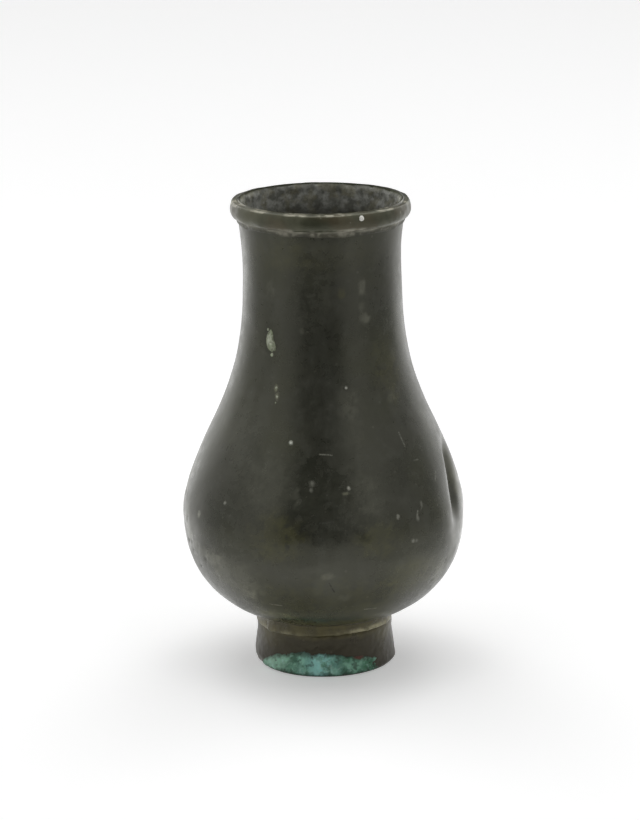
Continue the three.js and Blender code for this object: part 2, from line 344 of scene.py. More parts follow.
dent = dent + CREASE["depth"] * swell(off_crease, 0, CREASE["across"]) * fading
wall_radius = radius + push * out_r - dent * (np.abs(out_r) > SIDEWAYS) * (height < DENTS_BELOW)

ragged = 1 + ripple(true_round, STAIN_RAG)
masks = {}
for shade, places in STAINS.items():
    stained = 0
    for at_angle, at_height, across, tall, amount in places:
        spot = hill(angle, radius, height, at_angle, at_height * MM, across * MM, tall * MM)
        stained = stained + amount * ease(spot * ragged, *STAIN_FADE)
    masks[shade] = np.minimum(stained, 1) * outside
lip = ease(height, LIP_FROM, LIP_TOP)
nicked = LIP_NICK * lip * ease(ripple(true_round, NICK_LUMPS), *NICK_FADE)
# Painted shade: the lip inside the ring is darkened through the dark and metallic masks, most at the back.
lip_shade = lip * (LIP_SHADE_FRONT + (1 - LIP_SHADE_FRONT) * at_back(angle))
masks["dark"] = np.maximum(masks["dark"], np.maximum(ease(pitted, *PIT_DIRT) * outside, lip_shade))
# Painted shade: the lower front of the belly turns metallic over its dark colour, which darkens it.
belly_shade = ease(np.cos(angle), *BELLY_SHADE_FRONT) * ease(height, *BELLY_SHADE_FROM) * (1 - ease(height, *BELLY_SHADE_TO))
masks["bare"] = np.maximum(lip_shade, BELLY_SHADE_SHARE * belly_shade)
masks["inside"] = inside * (1 - lip_shade)
masks["dull"] = np.maximum(inside, lip)
# Painted shade: the inside darkens deeper down.
masks["deep"] = 1 - ease(height, *INSIDE_SHADE_FROM)
body_wall = turned_piece("body_wall", stand(angle, wall_radius, height + push * out_z - nicked), masks=masks)
outer_rows = np.flatnonzero(
    (out_r[:, 0] > SIDEWAYS) & (height[:, 0] > SPIGOT_TOP) & (height[:, 0] < RING_SEAT))
on_body = skin_finder(height[outer_rows, 0], wall_radius[outer_rows])


def paint(red, green, blue):
    """A colour as it is seen, 0 to 255, for a shader socket."""
    seen = [value / 255 for value in (red, green, blue)]
    return [c / 12.92 if c <= 0.04045 else ((c + 0.055) / 1.055) ** 2.4 for c in seen] + [1]


def feed(tree, node, feeds):
    """Links or sets a node's inputs."""
    for key, value in feeds.items():
        if isinstance(value, bpy.types.NodeSocket):
            tree.links.new(value, node.inputs[key])
        else:
            node.inputs[key].default_value = value


def wire(tree, kind, feeds, out=0, **settings):
    """Adds a shader node, sets it up, feeds its inputs, and gives back one of its outputs."""
    node = tree.nodes.new("ShaderNode" + kind)
    for key, value in settings.items():
        setattr(node, key, value)
    feed(tree, node, feeds)
    return node.outputs[out]


def math_of(tree, operation, first, second=0.0):
    """Arithmetic on one or two numbers in a shader."""
    return wire(tree, "Math", {0: first, 1: second}, operation=operation)


def vector_of(tree, operation, first, second=(0, 0, 0), out="Vector"):
    """Arithmetic on one or two vectors in a shader."""
    return wire(tree, "VectorMath", {0: first, 1: second}, out=out, operation=operation)


def between(tree, value, low, high, start=0.0, end=1.0):
    """A value eased from start to end as it goes from low to high."""
    feeds = {"Value": value, "From Min": low, "From Max": high, "To Min": start, "To Max": end}
    return wire(tree, "MapRange", feeds, interpolation_type="SMOOTHSTEP")


def summed(tree, values, shares):
    """The sum of values, each times its share."""
    total = 0.0
    for value, share in zip(values, shares):
        total = wire(tree, "Math", {0: value, 1: share, 2: total}, operation="MULTIPLY_ADD")
    return total


def tinted(tree, amount, first, second):
    """One colour going over into another."""
    return wire(tree, "Mix", {0: amount, 6: first, 7: second}, out=2, data_type="RGBA")


def painted(tree, amount, color, shade):
    """A colour going over into a plain shade, which is given as it is seen."""
    return tinted(tree, amount, color, paint(*shade))


def place_of(tree):
    """Where on the vase a point lies, in metres."""
    return wire(tree, "TexCoord", {}, out="Object")


def grain(tree, where, scale, detail, rough):
    """Soft cloudy grain, from 0 to 1."""
    return wire(tree, "TexNoise", {"Vector": where, "Scale": scale, "Detail": detail, "Roughness": rough})


def patches_of(tree, where, texture, shows):
    """Patches of a grain: its scale, detail and roughness, and the levels and amounts it is eased between."""
    return between(tree, grain(tree, where, *texture), *shows)


def mask_of(tree, label, share=1.0):
    """A mask that the mesh carries, or a share of it."""
    mask = wire(tree, "Attribute", {}, out="Fac", attribute_name=label)
    return math_of(tree, "MULTIPLY", mask, share)


def effect(name, inputs, outputs):
    """A new shader node group: its tree, what comes in, and what goes out."""
    tree = bpy.data.node_groups.new(name, "ShaderNodeTree")
    for label, kind, value in inputs:
        socket = tree.interface.new_socket(label, in_out="INPUT", socket_type="NodeSocket" + kind)
        socket.default_value = value
    for label, kind in outputs:
        tree.interface.new_socket(label, in_out="OUTPUT", socket_type="NodeSocket" + kind)
    return tree, tree.nodes.new("NodeGroupInput").outputs, tree.nodes.new("NodeGroupOutput").inputs


def place_effect(tree, group, feeds):
    """Puts an effect into a material with its own values, and gives back its outputs."""
    node = tree.nodes.new("ShaderNodeGroup")
    node.node_tree = group
    feed(tree, node, feeds)
    return node.outputs


SOFT_CLOUD = (3.0, 0.5)
PATCH_SHIFT, PATCH_SCALE = (0.31, 0.17, 0.05), 0.8
BLOTCH = (420.0, 4.0, 0.6)
FINE_GRAIN = (2600.0, 2.0, 0.5)
CLOUD_EDGE, PATCH_EDGE = (0.38, 0.62), (0.46, 0.66)
SPECK_CELLS = {"Scale": 520.0, "Randomness": 1.0}
SPECK_SIZES, SPECK_EDGE = (0.8, 0.95, 0.0, 0.24), (0.0, 0.1)
TONE_SHARES = (0.86, 0.14)
DULL_SHARES, DULL_EDGE = (0.6, 0.4), (0.32, 0.68)
RELIEF_SHARES = (0.6, 0.09, 0.15)


def make_patina():
    """Mottled patina: soft clouds of two tones, patches of a third, fine blotches, and specks of a fourth."""
    tree, given, result = effect("patina", [
        ("Dark", "Color", (0, 0, 0, 1)), ("Light", "Color", (1, 1, 1, 1)), ("Tint", "Color", (1, 1, 1, 1)),
        ("Speck", "Color", (1, 1, 1, 1)), ("Cloud Scale", "Float", 60.0), ("Tint Amount", "Float", 0.5),
        ("Speck Amount", "Float", 0.5)],
        [("Color", "Color"), ("Roughness", "Float"), ("Height", "Float")])
    where = place_of(tree)
    elsewhere = vector_of(tree, "ADD", where, PATCH_SHIFT)
    cloud = grain(tree, where, given["Cloud Scale"], *SOFT_CLOUD)
    patch = grain(tree, elsewhere, math_of(tree, "MULTIPLY", given["Cloud Scale"], PATCH_SCALE), *SOFT_CLOUD)
    blotch = grain(tree, where, *BLOTCH)
    fine = grain(tree, where, *FINE_GRAIN)
    tone = between(tree, summed(tree, (cloud, blotch), TONE_SHARES), *CLOUD_EDGE)
    color = tinted(tree, tone, given["Dark"], given["Light"])
    tint = math_of(tree, "MULTIPLY", between(tree, patch, *PATCH_EDGE), given["Tint Amount"])
    color = tinted(tree, tint, color, given["Tint"])
    cells = {"Vector": where} | SPECK_CELLS
    away = wire(tree, "TexVoronoi", cells, out="Distance")
    which = wire(tree, "SeparateColor", {0: wire(tree, "TexVoronoi", cells, out="Color")})
    speck = math_of(tree, "SUBTRACT", between(tree, which, *SPECK_SIZES), away)
    speck = math_of(tree, "MULTIPLY", between(tree, speck, *SPECK_EDGE), given["Speck Amount"])
    tree.links.new(tinted(tree, speck, color, given["Speck"]), result["Color"])
    dull = summed(tree, (cloud, blotch), DULL_SHARES)
    tree.links.new(between(tree, dull, *DULL_EDGE), result["Roughness"])
    tree.links.new(summed(tree, (blotch, fine, speck), RELIEF_SHARES), result["Height"])
    return tree


SMEAR_DRAWN = (1, 1, 0.22)
SMEAR_GRAIN, SMEAR_EDGE = (3.0, 0.55), (0.5, 0.72)


def make_smear():
    """Upright smudges, as wiping leaves them: soft streaks along the height."""
    tree, given, result = effect("smear", [("Scale", "Float", 100.0)], [("Mask", "Float")])
    drawn_out = vector_of(tree, "MULTIPLY", place_of(tree), SMEAR_DRAWN)
    streaks = grain(tree, drawn_out, given["Scale"], *SMEAR_GRAIN)
    tree.links.new(between(tree, streaks, *SMEAR_EDGE), result["Mask"])
    return tree


STAIN_REACH = 24 * MM


def make_stain():
    """A ragged spot round one place on the vase, with a width and a height, that stays off the far wall."""
    tree, given, result = effect("stain", [
        ("Waver", "Float", 0.5), ("Centre", "Vector", (0, 0, 0)), ("Across", "Float", MM),
        ("Tall", "Float", MM), ("Soft", "Float", 0.3), ("Ragged", "Float", 0.5)], [("Mask", "Float")])
    off = vector_of(tree, "SUBTRACT", place_of(tree), given["Centre"])
    aside = vector_of(tree, "NORMALIZE", vector_of(tree, "CROSS_PRODUCT", (0, 0, 1), given["Centre"]))
    sideways = math_of(tree, "DIVIDE", vector_of(tree, "DOT_PRODUCT", off, aside, "Value"), given["Across"])
    upward = math_of(tree, "DIVIDE", wire(tree, "SeparateXYZ", {0: off}, out="Z"), given["Tall"])
    squares = summed(tree, (sideways, upward), (sideways, upward))
    through = math_of(tree, "DIVIDE", vector_of(tree, "LENGTH", off, out="Value"), STAIN_REACH)
    distance = math_of(tree, "MAXIMUM", math_of(tree, "SQRT", squares), through)
    waver = math_of(tree, "SUBTRACT", given["Waver"], 0.5)
    distance = math_of(tree, "ADD", distance, math_of(tree, "MULTIPLY", waver, given["Ragged"]))
    low = math_of(tree, "SUBTRACT", 1.0, given["Soft"])
    high = math_of(tree, "ADD", 1.0, given["Soft"])
    tree.links.new(between(tree, distance, low, high, 1.0, 0.0), result["Mask"])
    return tree


SCRATCH_EDGE, SCRATCH_GAPS = (0.3, 1.2), (0.36, 0.58)


def make_scratch():
    """A thin broken line between two places on the vase."""
    tree, given, result = effect("scratch", [
        ("Waver", "Float", 0.5), ("From", "Vector", (0, 0, 0)), ("To", "Vector", (0, 0, 0)),
        ("Width", "Float", 0.2 * MM)], [("Mask", "Float")])
    off = vector_of(tree, "SUBTRACT", place_of(tree), given["From"])
    run = vector_of(tree, "SUBTRACT", given["To"], given["From"])
    along = math_of(tree, "DIVIDE", vector_of(tree, "DOT_PRODUCT", off, run, "Value"),
                    vector_of(tree, "DOT_PRODUCT", run, run, "Value"))
    nearest = wire(tree, "VectorMath", {0: run, "Scale": wire(tree, "Clamp", {0: along})}, operation="SCALE")
    distance = vector_of(tree, "DISTANCE", off, nearest, "Value")
    line = between(tree, math_of(tree, "DIVIDE", distance, given["Width"]), *SCRATCH_EDGE, 1.0, 0.0)
    broken = between(tree, given["Waver"], *SCRATCH_GAPS)
    tree.links.new(math_of(tree, "MULTIPLY", line, broken), result["Mask"])
    return tree


patina = make_patina()
smear = make_smear()
stain = make_stain()
scratch = make_scratch()
PATINA_IOR = 1.6
PATINA_SHEEN = (1.0, 1.0, 0.82, 1)


def new_finish(name):
    """A new material: itself, its tree and its surface shader."""
    material = bpy.data.materials.new(name)
    material.use_nodes = True
    return material, material.node_tree, material.node_tree.nodes["Principled BSDF"]


def place_patina(tree, tones, cloud_scale, amounts):
    """Puts patina into a material: its dark, light, tint and speck tones, and amounts of tint and specks."""
    feeds = {label: paint(*tone) for label, tone in zip(("Dark", "Light", "Tint", "Speck"), tones)}
    feeds.update({"Cloud Scale": cloud_scale, "Tint Amount": amounts[0], "Speck Amount": amounts[1]})
    return place_effect(tree, patina, feeds)


def corroded_finish(name, tones, cloud_scale, amounts, roughness, relief):
    """A material of mottled patina: itself, its tree, its surface shader and what the patina gives out."""
    material, tree, shader = new_finish(name)
    mottle = place_patina(tree, tones, cloud_scale, amounts)
    feed(tree, shader, {
        "Base Color": mottle["Color"], "Roughness": between(tree, mottle["Roughness"], 0.0, 1.0, *roughness),
        "Normal": wire(tree, "Bump", {"Height": mottle["Height"], "Distance": relief}, out="Normal"),
        "IOR": PATINA_IOR, "Specular Tint": PATINA_SHEEN})
    return material, tree, shader, mottle


def spot_mask(tree, waver, find, place, edge):
    """The mask of a ragged spot on a wall: degrees, height, half width, half height in mm, and its edge."""
    at_angle, at_height, across, tall = place
    centre = find(at_angle, at_height * MM)[0]
    feeds = edge | {"Waver": waver, "Centre": centre, "Across": across * MM, "Tall": tall * MM}
    return place_effect(tree, stain, feeds)["Mask"]


BRONZE_LOOK = {"tones": [(40, 41, 33), (51, 51, 44), (52, 53, 36), (86, 86, 76)], "cloud_scale": 46.0,
               "amounts": (0.6, 0.4), "roughness": (0.22, 0.38), "relief": 0.04 * MM}
INSIDE_LOOK = {"tones": [(112, 113, 107), (178, 179, 173), (146, 141, 113), (208, 208, 202)],
               "cloud_scale": 430.0, "amounts": (0.5, 0.6)}
INSIDE_GRIT = {"texture": (1500.0, 4.0, 0.65), "shows": (0.4, 0.65, 0.0, 0.3)}
# Dark grit inside and the painted shade deeper down share this colour.
GRIT_AND_DEEP_SHADE, DEEP_SHADE_SHARE = (30, 30, 25), 0.88
DULL_ROUGHNESS = 0.62
SMUDGE = (72, 73, 66)
SMUDGE_SCALE, SMUDGE_SHARE = 90.0, 0.45
BLOTCHES = {"texture": (210.0, 4.0, 0.6), "shows": (0.5, 0.72, 0.0, 0.3)}
STAIN_SHADES = {"pale": (106, 106, 94), "olive": (84, 82, 48), "dark": (28, 30, 21)}
STAIN_PATCHES = {"texture": (260.0, 3.0, 0.55), "shows": (0.3, 0.7, 0.5, 1.0)}
MARK_WAVER = (2200.0, 3.0, 0.6)
# Spots: degrees from the front, height, half width and half height in mm, and shade.
SPOTS = [(-30.2, 82.4, 0.5, 0.8, (116, 116, 96)), (-28.9, 80.4, 0.5, 0.8, (112, 112, 96)),
         (-5.1, 59.5, 0.6, 0.6, (112, 112, 102)), (-5.4, 57.9, 0.45, 0.45, (112, 112, 102)),
         (11.2, 58.2, 0.4, 0.4, (168, 168, 156)), (9.6, 56.9, 0.75, 0.35, (108, 108, 92)),
         (-45.5, 52, 0.4, 0.4, (142, 142, 132)), (-61.6, 46.6, 0.7, 0.8, (124, 124, 114)),
         (31.6, 49.6, 0.42, 0.5, (132, 132, 122)), (37.7, 42.4, 0.42, 0.42, (134, 134, 124)),
         (39.4, 42.3, 0.36, 0.36, (112, 112, 104)), (41.0, 48.2, 0.36, 0.7, (110, 110, 102)),
         (44.4, 51.4, 0.36, 0.7, (100, 100, 92)), (-102, 61, 0.5, 0.6, (150, 150, 140)),
         (126, 47, 0.5, 0.5, (160, 160, 150)), (165, 84, 0.45, 0.6, (140, 140, 130)),
         (-160, 66, 0.5, 0.4, (150, 150, 140))]
SPOT_EDGE = {"Soft": 0.8, "Ragged": 2.4}
# Scratches: degrees and height in mm of both ends, half width in mm, and shade.
SCRATCHES = [
    ((-1.7, 66.6), (4.3, 66.4), 0.26, (120, 120, 110)), ((-1.2, 67.5), (4.0, 67.6), 0.3, (20, 21, 17)),
    ((43.5, 70.0), (44.6, 66.3), 0.3, (108, 108, 100)), ((44.7, 52.0), (43.4, 50.0), 0.25, (104, 104, 96)),
    ((41.6, 50.0), (40.3, 47.9), 0.3, (124, 124, 114)), ((2.0, 32.8), (4.2, 30.0), 0.25, (28, 28, 22)),
    ((-26.0, 24.9), (-20.0, 24.8), 0.22, (112, 110, 96)), ((19.5, 23.2), (25.5, 23.0), 0.25, (120, 118, 104)),
    ((-1.5, 49.6), (4.0, 49.9), 0.25, (74, 74, 68)), ((57.0, 55.8), (60.0, 58.0), 0.25, (110, 110, 100)),
    ((47.0, 62.4), (50.0, 62.3), 0.25, (92, 92, 84)), ((-142, 70), (-136, 66), 0.25, (108, 108, 100)),
    ((160, 52), (171, 50), 0.25, (112, 112, 104)), ((100, 66), (103, 59), 0.25, (110, 110, 102))]

bronze, tree, shader, mottle = corroded_finish("dark_olive_bronze", **BRONZE_LOOK)
where = place_of(tree)
wiped = math_of(tree, "MULTIPLY", place_effect(tree, smear, {"Scale": SMUDGE_SCALE})["Mask"], SMUDGE_SHARE)
color = painted(tree, wiped, mottle["Color"], SMUDGE)
color = painted(tree, patches_of(tree, where, **BLOTCHES), color, SMUDGE)
patchy = patches_of(tree, where, **STAIN_PATCHES)
# The dark shade also carries the painted shade on the lip inside the ring.
for label, shade in STAIN_SHADES.items():
    color = painted(tree, mask_of(tree, label, patchy), color, shade)
waver = grain(tree, where, *MARK_WAVER)
for *place, shade in SPOTS:
    color = painted(tree, spot_mask(tree, waver, on_body, place, SPOT_EDGE), color, shade)
for start, end, width, shade in SCRATCHES:
    ends = {label: on_body(turn, level * MM)[0] for label, (turn, level) in (("From", start), ("To", end))}
    line = place_effect(tree, scratch, ends | {"Waver": waver, "Width": width * MM})["Mask"]
    color = painted(tree, line, color, shade)
as_cast = place_patina(tree, **INSIDE_LOOK)
cast_color = painted(tree, patches_of(tree, where, **INSIDE_GRIT), as_cast["Color"], GRIT_AND_DEEP_SHADE)
# Painted shade deeper inside the neck.
cast_color = painted(tree, mask_of(tree, "deep", DEEP_SHADE_SHARE), cast_color, GRIT_AND_DEEP_SHADE)
gloss = between(tree, mottle["Roughness"], 0.0, 1.0, *BRONZE_LOOK["roughness"])
# Metallic carries painted shade, on the lip inside the ring and on the lower front of the belly.
feed(tree, shader, {
    "Base Color": tinted(tree, mask_of(tree, "inside"), color, cast_color), "Metallic": mask_of(tree, "bare"),
    "Roughness": math_of(tree, "MAXIMUM", gloss, mask_of(tree, "dull", DULL_ROUGHNESS))})
fit(body_wall, bronze, "bronze_patina", "body_casting")

# Core plugs: short bronze pins driven into the holes that the core's spacers left, and filed level with the
# wall. Three stand round the neck, as dark as the wall but for a pale core, and three paler ones round the
# shoulder.
PLUG_SPOKES = 32
SAME_POINT = 0.0005 * MM
# From the pin's root to the middle of its dome: radius, and height over the wall, in mm.
PLUG_PROFILE = [(0.0, -1.1), (0.6, -1.1), (0.8, -1.0), (0.8, -0.14), (0.72, -0.02), (0.6, 0.03), (0.4, 0.07),
                (0.2, 0.095), (0.0, 0.1)]
PLUG_UNROUND = [(0.9, 0.08, 11)]
CORE_FADE = (0.15 * MM, 0.5 * MM)
PLUG_ROWS = {"upper": ([(40, 40, 33), (54, 54, 46), (50, 52, 40), (84, 84, 76)], (176, 176, 166)),
             "lower": ([(84, 87, 77), (124, 127, 116), (96, 110, 92), (170, 172, 160)], (214, 216, 204))}
PLUG_LOOK = {"cloud_scale": 700.0, "amounts": (0.4, 0.4), "roughness": (0.45, 0.65), "relief": 0.06 * MM}


def merged(piece):
    """Joins the points of a piece that fall together on its axis."""
    whole = bmesh.new()
    whole.from_mesh(piece.data)
    bmesh.ops.remove_doubles(whole, verts=whole.verts, dist=SAME_POINT)
    whole.to_mesh(piece.data)
    whole.free()
    return piece


def plug_piece(node):
    """A domed pin on the casting where its CAD node is, with a mask of its pale core."""
    low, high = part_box(node)
    middle = (low + high) / 2
    seat, out = on_body(math.degrees(math.atan2(middle.x, -middle.y)), middle.z)
    turn = np.arange(PLUG_SPOKES) * math.tau / PLUG_SPOKES
    rings = [np.stack([r * np.cos(turn), r * np.sin(turn), z + 0 * turn], axis=-1) for r, z in PLUG_PROFILE]
    points = MM * np.array(rings)
    points[..., :2] *= 1 + ripple(points + np.array(seat), PLUG_UNROUND)[..., None]
    core = 1 - ease(np.linalg.norm(points[..., :2], axis=-1), *CORE_FADE)
    points = points @ np.array(out.to_track_quat("Z", "Y").to_matrix()).T + np.array(seat)
    return merged(turned_piece(node.replace("core_plug", "pin"), points, closed=False, masks={"core": core}))


for row, (tones, core_shade) in PLUG_ROWS.items():
    pin_bronze, tree, shader, mottle = corroded_finish(f"corroded_{row}_pin", tones, **PLUG_LOOK)
    feed(tree, shader, {"Base Color": painted(tree, mask_of(tree, "core"), mottle["Color"], core_shade)})
    for node in sorted(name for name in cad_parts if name.startswith(f"core_plug_{row}_")):
        fit(plug_piece(node), pin_bronze, "plug_bronze", node)

# Mouth ring: a rounded bronze bead that drops over the end of the neck onto a narrow ledge. Its face is
# uneven, and handling has worn its crown a little flatter. A painted highlight runs broken along the crown,
# and painted shade darkens the seam between it and the lip, and the bead's upward faces at the back.
RING_COLUMNS = 360
RING_STEP = 0.22 * MM
RING_BORE = 22.3 * MM
RING_UNDERSIDE = 125.1 * MM
RING_MARGIN = 0.5 * MM
RING_FACE = 0.25
RING_SKIN = [(12, 0.22, 21), (4, 0.09, 22), (1.3, 0.03, 23)]
SEAM_DEPTH, SEAM_WIDTH = 0.25 * MM, 0.6 * MM
SEAM_FACING = (0.5, 0.9)
# Painted shade in the seam between bead and lip and on the bead's upward faces at the back: its share in the
# seam, and how far upward a face must look.
SEAM_SHADE = 0.7
BACK_SHADE_FACING = (0.1, 0.6)
CROWN_WORN_BY = 0.4 * MM
CROWN_FACING = (0.5, 0.95)
CROWN_TOP = (129.2 * MM, 129.5 * MM)
# The painted highlight on the crown runs wider at the ring's two sides.
CROWN_WIDER = 0.5 * MM
CROWN_ENDS = (0.88, 0.99)
# Places of painted highlight on the crown, and runs of solder under the ring: degrees from the front, and
# strength.
CROWN_HIGHLIGHTS = [(-19, 0.7), (-14, 1.1), (3, 0.8), (8, 0.9), (13, 0.5), (-43, 0.9), (-48, 0.6), (44, 0.5),
              (51, 0.8), (-68, 0.8), (-76, 1.0), (78, 0.8), (-84, 0.9), (24, 0.3), (112, 0.4), (-118, 0.4)]
HIGHLIGHT_LENGTH = 2 * MM
HIGHLIGHT_ALL_ROUND, HIGHLIGHT_SHARE = 0.08, 0.9
HIGHLIGHT_RAG, HIGHLIGHT_FADE = [(1.6, 1.6, 25)], (0.2, 1.2)
PALE_RUNS = [(-62, 0.6), (-27, 0.7), (-21, 0.5), (-3, 0.8), (8, 0.5), (15, 0.9), (26, 0.8), (36, 0.4),
             (47, 0.5), (58, 0.8), (108, 0.7), (128, 0.5), (162, 0.7), (-104, 0.6), (-133, 0.8), (-165, 0.5)]
RUN_LENGTH = 2.4 * MM
SPLASH_RAG, SPLASH_FADE = [(3, 0.7, 24)], (0.55, 1.15)
SPLASH_TOP, SPLASH_FROM = (125.4 * MM, 126.1 * MM), (23.0 * MM, 23.4 * MM)
PAINTED_CROWN_HIGHLIGHT = (166, 163, 145)
SOLDER_PALE = (150, 147, 133)
RING_SHADE_COLOUR = (24, 23, 19)
RING_LOOK = {"tones": [(54, 56, 40), (82, 82, 64), (76, 64, 44), (132, 129, 112)], "cloud_scale": 110.0,
             "amounts": (0.6, 0.5), "roughness": (0.32, 0.48), "relief": 0.06 * MM}

angle, radius, height, out_r, out_z = even_grid("mouth_ring", RING_STEP, RING_COLUMNS)
true_round = stand(angle, radius, height)
along_ring = stand(angle, radius, 0 * height)
off_bore = ease(radius, RING_BORE, RING_BORE + RING_MARGIN)
off_neck = ease(height, RING_UNDERSIDE, RING_UNDERSIDE + RING_MARGIN)
seam = (1 - ease(radius, RING_BORE, RING_BORE + SEAM_WIDTH)) * ease(out_z, *SEAM_FACING)
push = off_bore * off_neck * uneven(true_round, RING_SKIN)
push = push - CROWN_WORN_BY * ease(out_z, *CROWN_FACING) - SEAM_DEPTH * seam
bead_radius = radius + push * out_r
# Painted shade: the seam and, at the back, the bead's upward faces are darkened.
ring_shade = np.maximum(SEAM_SHADE * seam, at_back(angle) * ease(out_z, *BACK_SHADE_FACING))
# Painted highlight: pale broken places along the crown, wider at its two sides.
crown_highlight = HIGHLIGHT_ALL_ROUND + HIGHLIGHT_SHARE * spread(angle, radius, CROWN_HIGHLIGHTS, HIGHLIGHT_LENGTH)
crown_highlight = ease(crown_highlight * (1 + ripple(true_round, HIGHLIGHT_RAG)), *HIGHLIGHT_FADE)
wider = CROWN_WIDER * ease(np.abs(np.sin(angle)), *CROWN_ENDS)
crown_highlight = crown_highlight * ease(height + wider, *CROWN_TOP) * (1 - ring_shade)
splashed = ease(spread(angle, radius, PALE_RUNS, RUN_LENGTH) + ripple(along_ring, SPLASH_RAG), *SPLASH_FADE)
splashed = splashed * (1 - ease(height, *SPLASH_TOP)) * ease(radius, *SPLASH_FROM)
mouth_bead = turned_piece("mouth_bead", stand(angle, bead_radius, height + push * out_z), masks={
    "ring_shade": ring_shade, "crown_highlight": crown_highlight, "splashed": splashed})
face_rows = np.flatnonzero((out_r[:, 0] > RING_FACE) & (height[:, 0] > RING_UNDERSIDE + RING_MARGIN))
on_ring = skin_finder(height[face_rows, 0], bead_radius[face_rows])
ring_bronze, tree, shader, mottle = corroded_finish("olive_brown_ring", **RING_LOOK)
# Painted highlight on the crown.
color = painted(tree, mask_of(tree, "crown_highlight"), mottle["Color"], PAINTED_CROWN_HIGHLIGHT)
color = painted(tree, mask_of(tree, "splashed"), color, SOLDER_PALE)
# Painted shade over the seam and the back of the bead.
feed(tree, shader, {"Base Color": painted(tree, mask_of(tree, "ring_shade"), color, RING_SHADE_COLOUR)})
fit(mouth_bead, ring_bronze, "ring_patina", "mouth_ring")

# Solder under the mouth ring: soft solder run into the corner between ring and neck. It has darkened like the
# body, and shows pale only in a thin broken line and in a few splashes.
SOLDER_STEP = 0.12 * MM
SOLDER_COLUMNS = 480
SOLDER_HEIGHTS = (123.8 * MM, 125.0 * MM)
SOLDER_FACING = (0.2, 0.6)
SOLDER_SKIN = [(2.4, 0.12, 31), (7, 0.08, 32)]
SOLDER_SUNK = 0.1 * MM
SOLDER_CLIMBS, CLIMBS_FROM = 0.3 * MM, (0.6, 1.0)
RUN_SWELLS, RUN_HANGS, RUN_TOP = 0.12 * MM, 0.5 * MM, (0.0, 0.9)
HANGS_INWARD = 0.1
# The pale line and splashes lie at parts of the solder's height, from 0 at its foot to 1 at its top.
LINE_AT, LINE_HALF = 0.9, 0.2
LINE_WANDERS = [(5, 0.2, 33)]
LINE_SHOWS, LINE_AT_RUNS, LINE_GAPS = 0.4, 0.45, [(4, 0.5, 35)]
DROPS_SHOW, DROPS_AT_RUNS, DROPS_RAG = 0.75, 0.6, [(1.4, 0.8, 34)]
DROPS_FADE, DROPS_FROM = (0.2, 1.0), (0.0, 0.7)
SOLDER_LOOK = {"tones": [(42, 42, 34), (60, 59, 48), (60, 56, 42), (96, 94, 84)], "cloud_scale": 190.0,
               "amounts": (0.5, 0.4), "roughness": (0.4, 0.6), "relief": 0.08 * MM}

angle, radius, height, out_r, out_z = even_grid("mouth_ring_solder", SOLDER_STEP, SOLDER_COLUMNS)
true_round = stand(angle, radius, height)
along_ring = stand(angle, radius, 0 * height)
runs = spread(angle, radius, PALE_RUNS, RUN_LENGTH)
push = ease(out_r, *SOLDER_FACING) * (uneven(true_round, SOLDER_SKIN) - SOLDER_SUNK + RUN_SWELLS * runs)
part_up = (height - SOLDER_HEIGHTS[0]) / (SOLDER_HEIGHTS[1] - SOLDER_HEIGHTS[0])
line = swell(part_up + ripple(along_ring, LINE_WANDERS), LINE_AT, LINE_HALF)
line = line * (LINE_SHOWS + LINE_AT_RUNS * runs + ripple(along_ring, LINE_GAPS))
drops = ease(DROPS_AT_RUNS * runs + ripple(true_round, DROPS_RAG), *DROPS_FADE) * ease(part_up, *DROPS_FROM)
pale = np.clip(np.maximum(line, DROPS_SHOW * drops), 0, 1)
hang = RUN_HANGS * runs * (1 - ease(part_up, *RUN_TOP)) - SOLDER_CLIMBS * ease(part_up, *CLIMBS_FROM)
mouth_solder = turned_piece("mouth_solder", stand(
    angle, radius + push * out_r - HANGS_INWARD * hang, height + push * out_z - hang), masks={"pale": pale})
ring_solder, tree, shader, mottle = corroded_finish("patchy_pale_solder", **SOLDER_LOOK)
feed(tree, shader, {"Base Color": painted(tree, mask_of(tree, "pale"), mottle["Color"], SOLDER_PALE)})
fit(mouth_solder, ring_solder, "solder", "mouth_ring_solder")

# Base plate: a bronze disc that closes the hole in the casting's floor, through which the core was cleared.
# It is let into a rebate from below and soldered in, and only shows from underneath and down the mouth.
PLATE_STEP = 0.7 * MM
PLATE_COLUMNS = 120
PLATE_FACING = (0.4, 0.9)
PLATE_SKIN = [(5, 0.07, 41)]
PLATE_SUNK = 0.06 * MM
PLATE_LOOK = {"tones": [(48, 44, 37), (76, 70, 58), (60, 72, 58), (96, 112, 96)], "cloud_scale": 130.0,
              "amounts": (0.6, 0.6), "roughness": (0.5, 0.68), "relief": 0.1 * MM}

angle, radius, height, out_r, out_z = even_grid("base_plate", PLATE_STEP, PLATE_COLUMNS, closed=False)
push = (uneven(stand(angle, radius, height), PLATE_SKIN) - PLATE_SUNK) * ease(np.abs(out_z), *PLATE_FACING)
base_disc = merged(turned_piece("base_disc", stand(angle, radius, height + push * out_z), closed=False))
plate_bronze = corroded_finish("dull_brown_plate", **PLATE_LOOK)[0]
fit(base_disc, plate_bronze, "plate_patina", "base_plate")

# Solder round the base plate: a lumpy bead drawn round the plate's edge with an iron, still pale because
# nothing has rubbed against it.
BEAD_STEP = 0.15 * MM
BEAD_COLUMNS = 300
BEAD_FACING = (0.2, 0.7)
BEAD_SKIN = [(2.5, 0.16, 51)]
BEAD_SUNK = 0.05 * MM
BEAD_LOOK = {"tones": [(62, 59, 49), (126, 123, 110), (84, 80, 60), (150, 148, 136)], "cloud_scale": 190.0,
             "amounts": (0.5, 0.4), "roughness": (0.5, 0.68), "relief": 0.08 * MM}

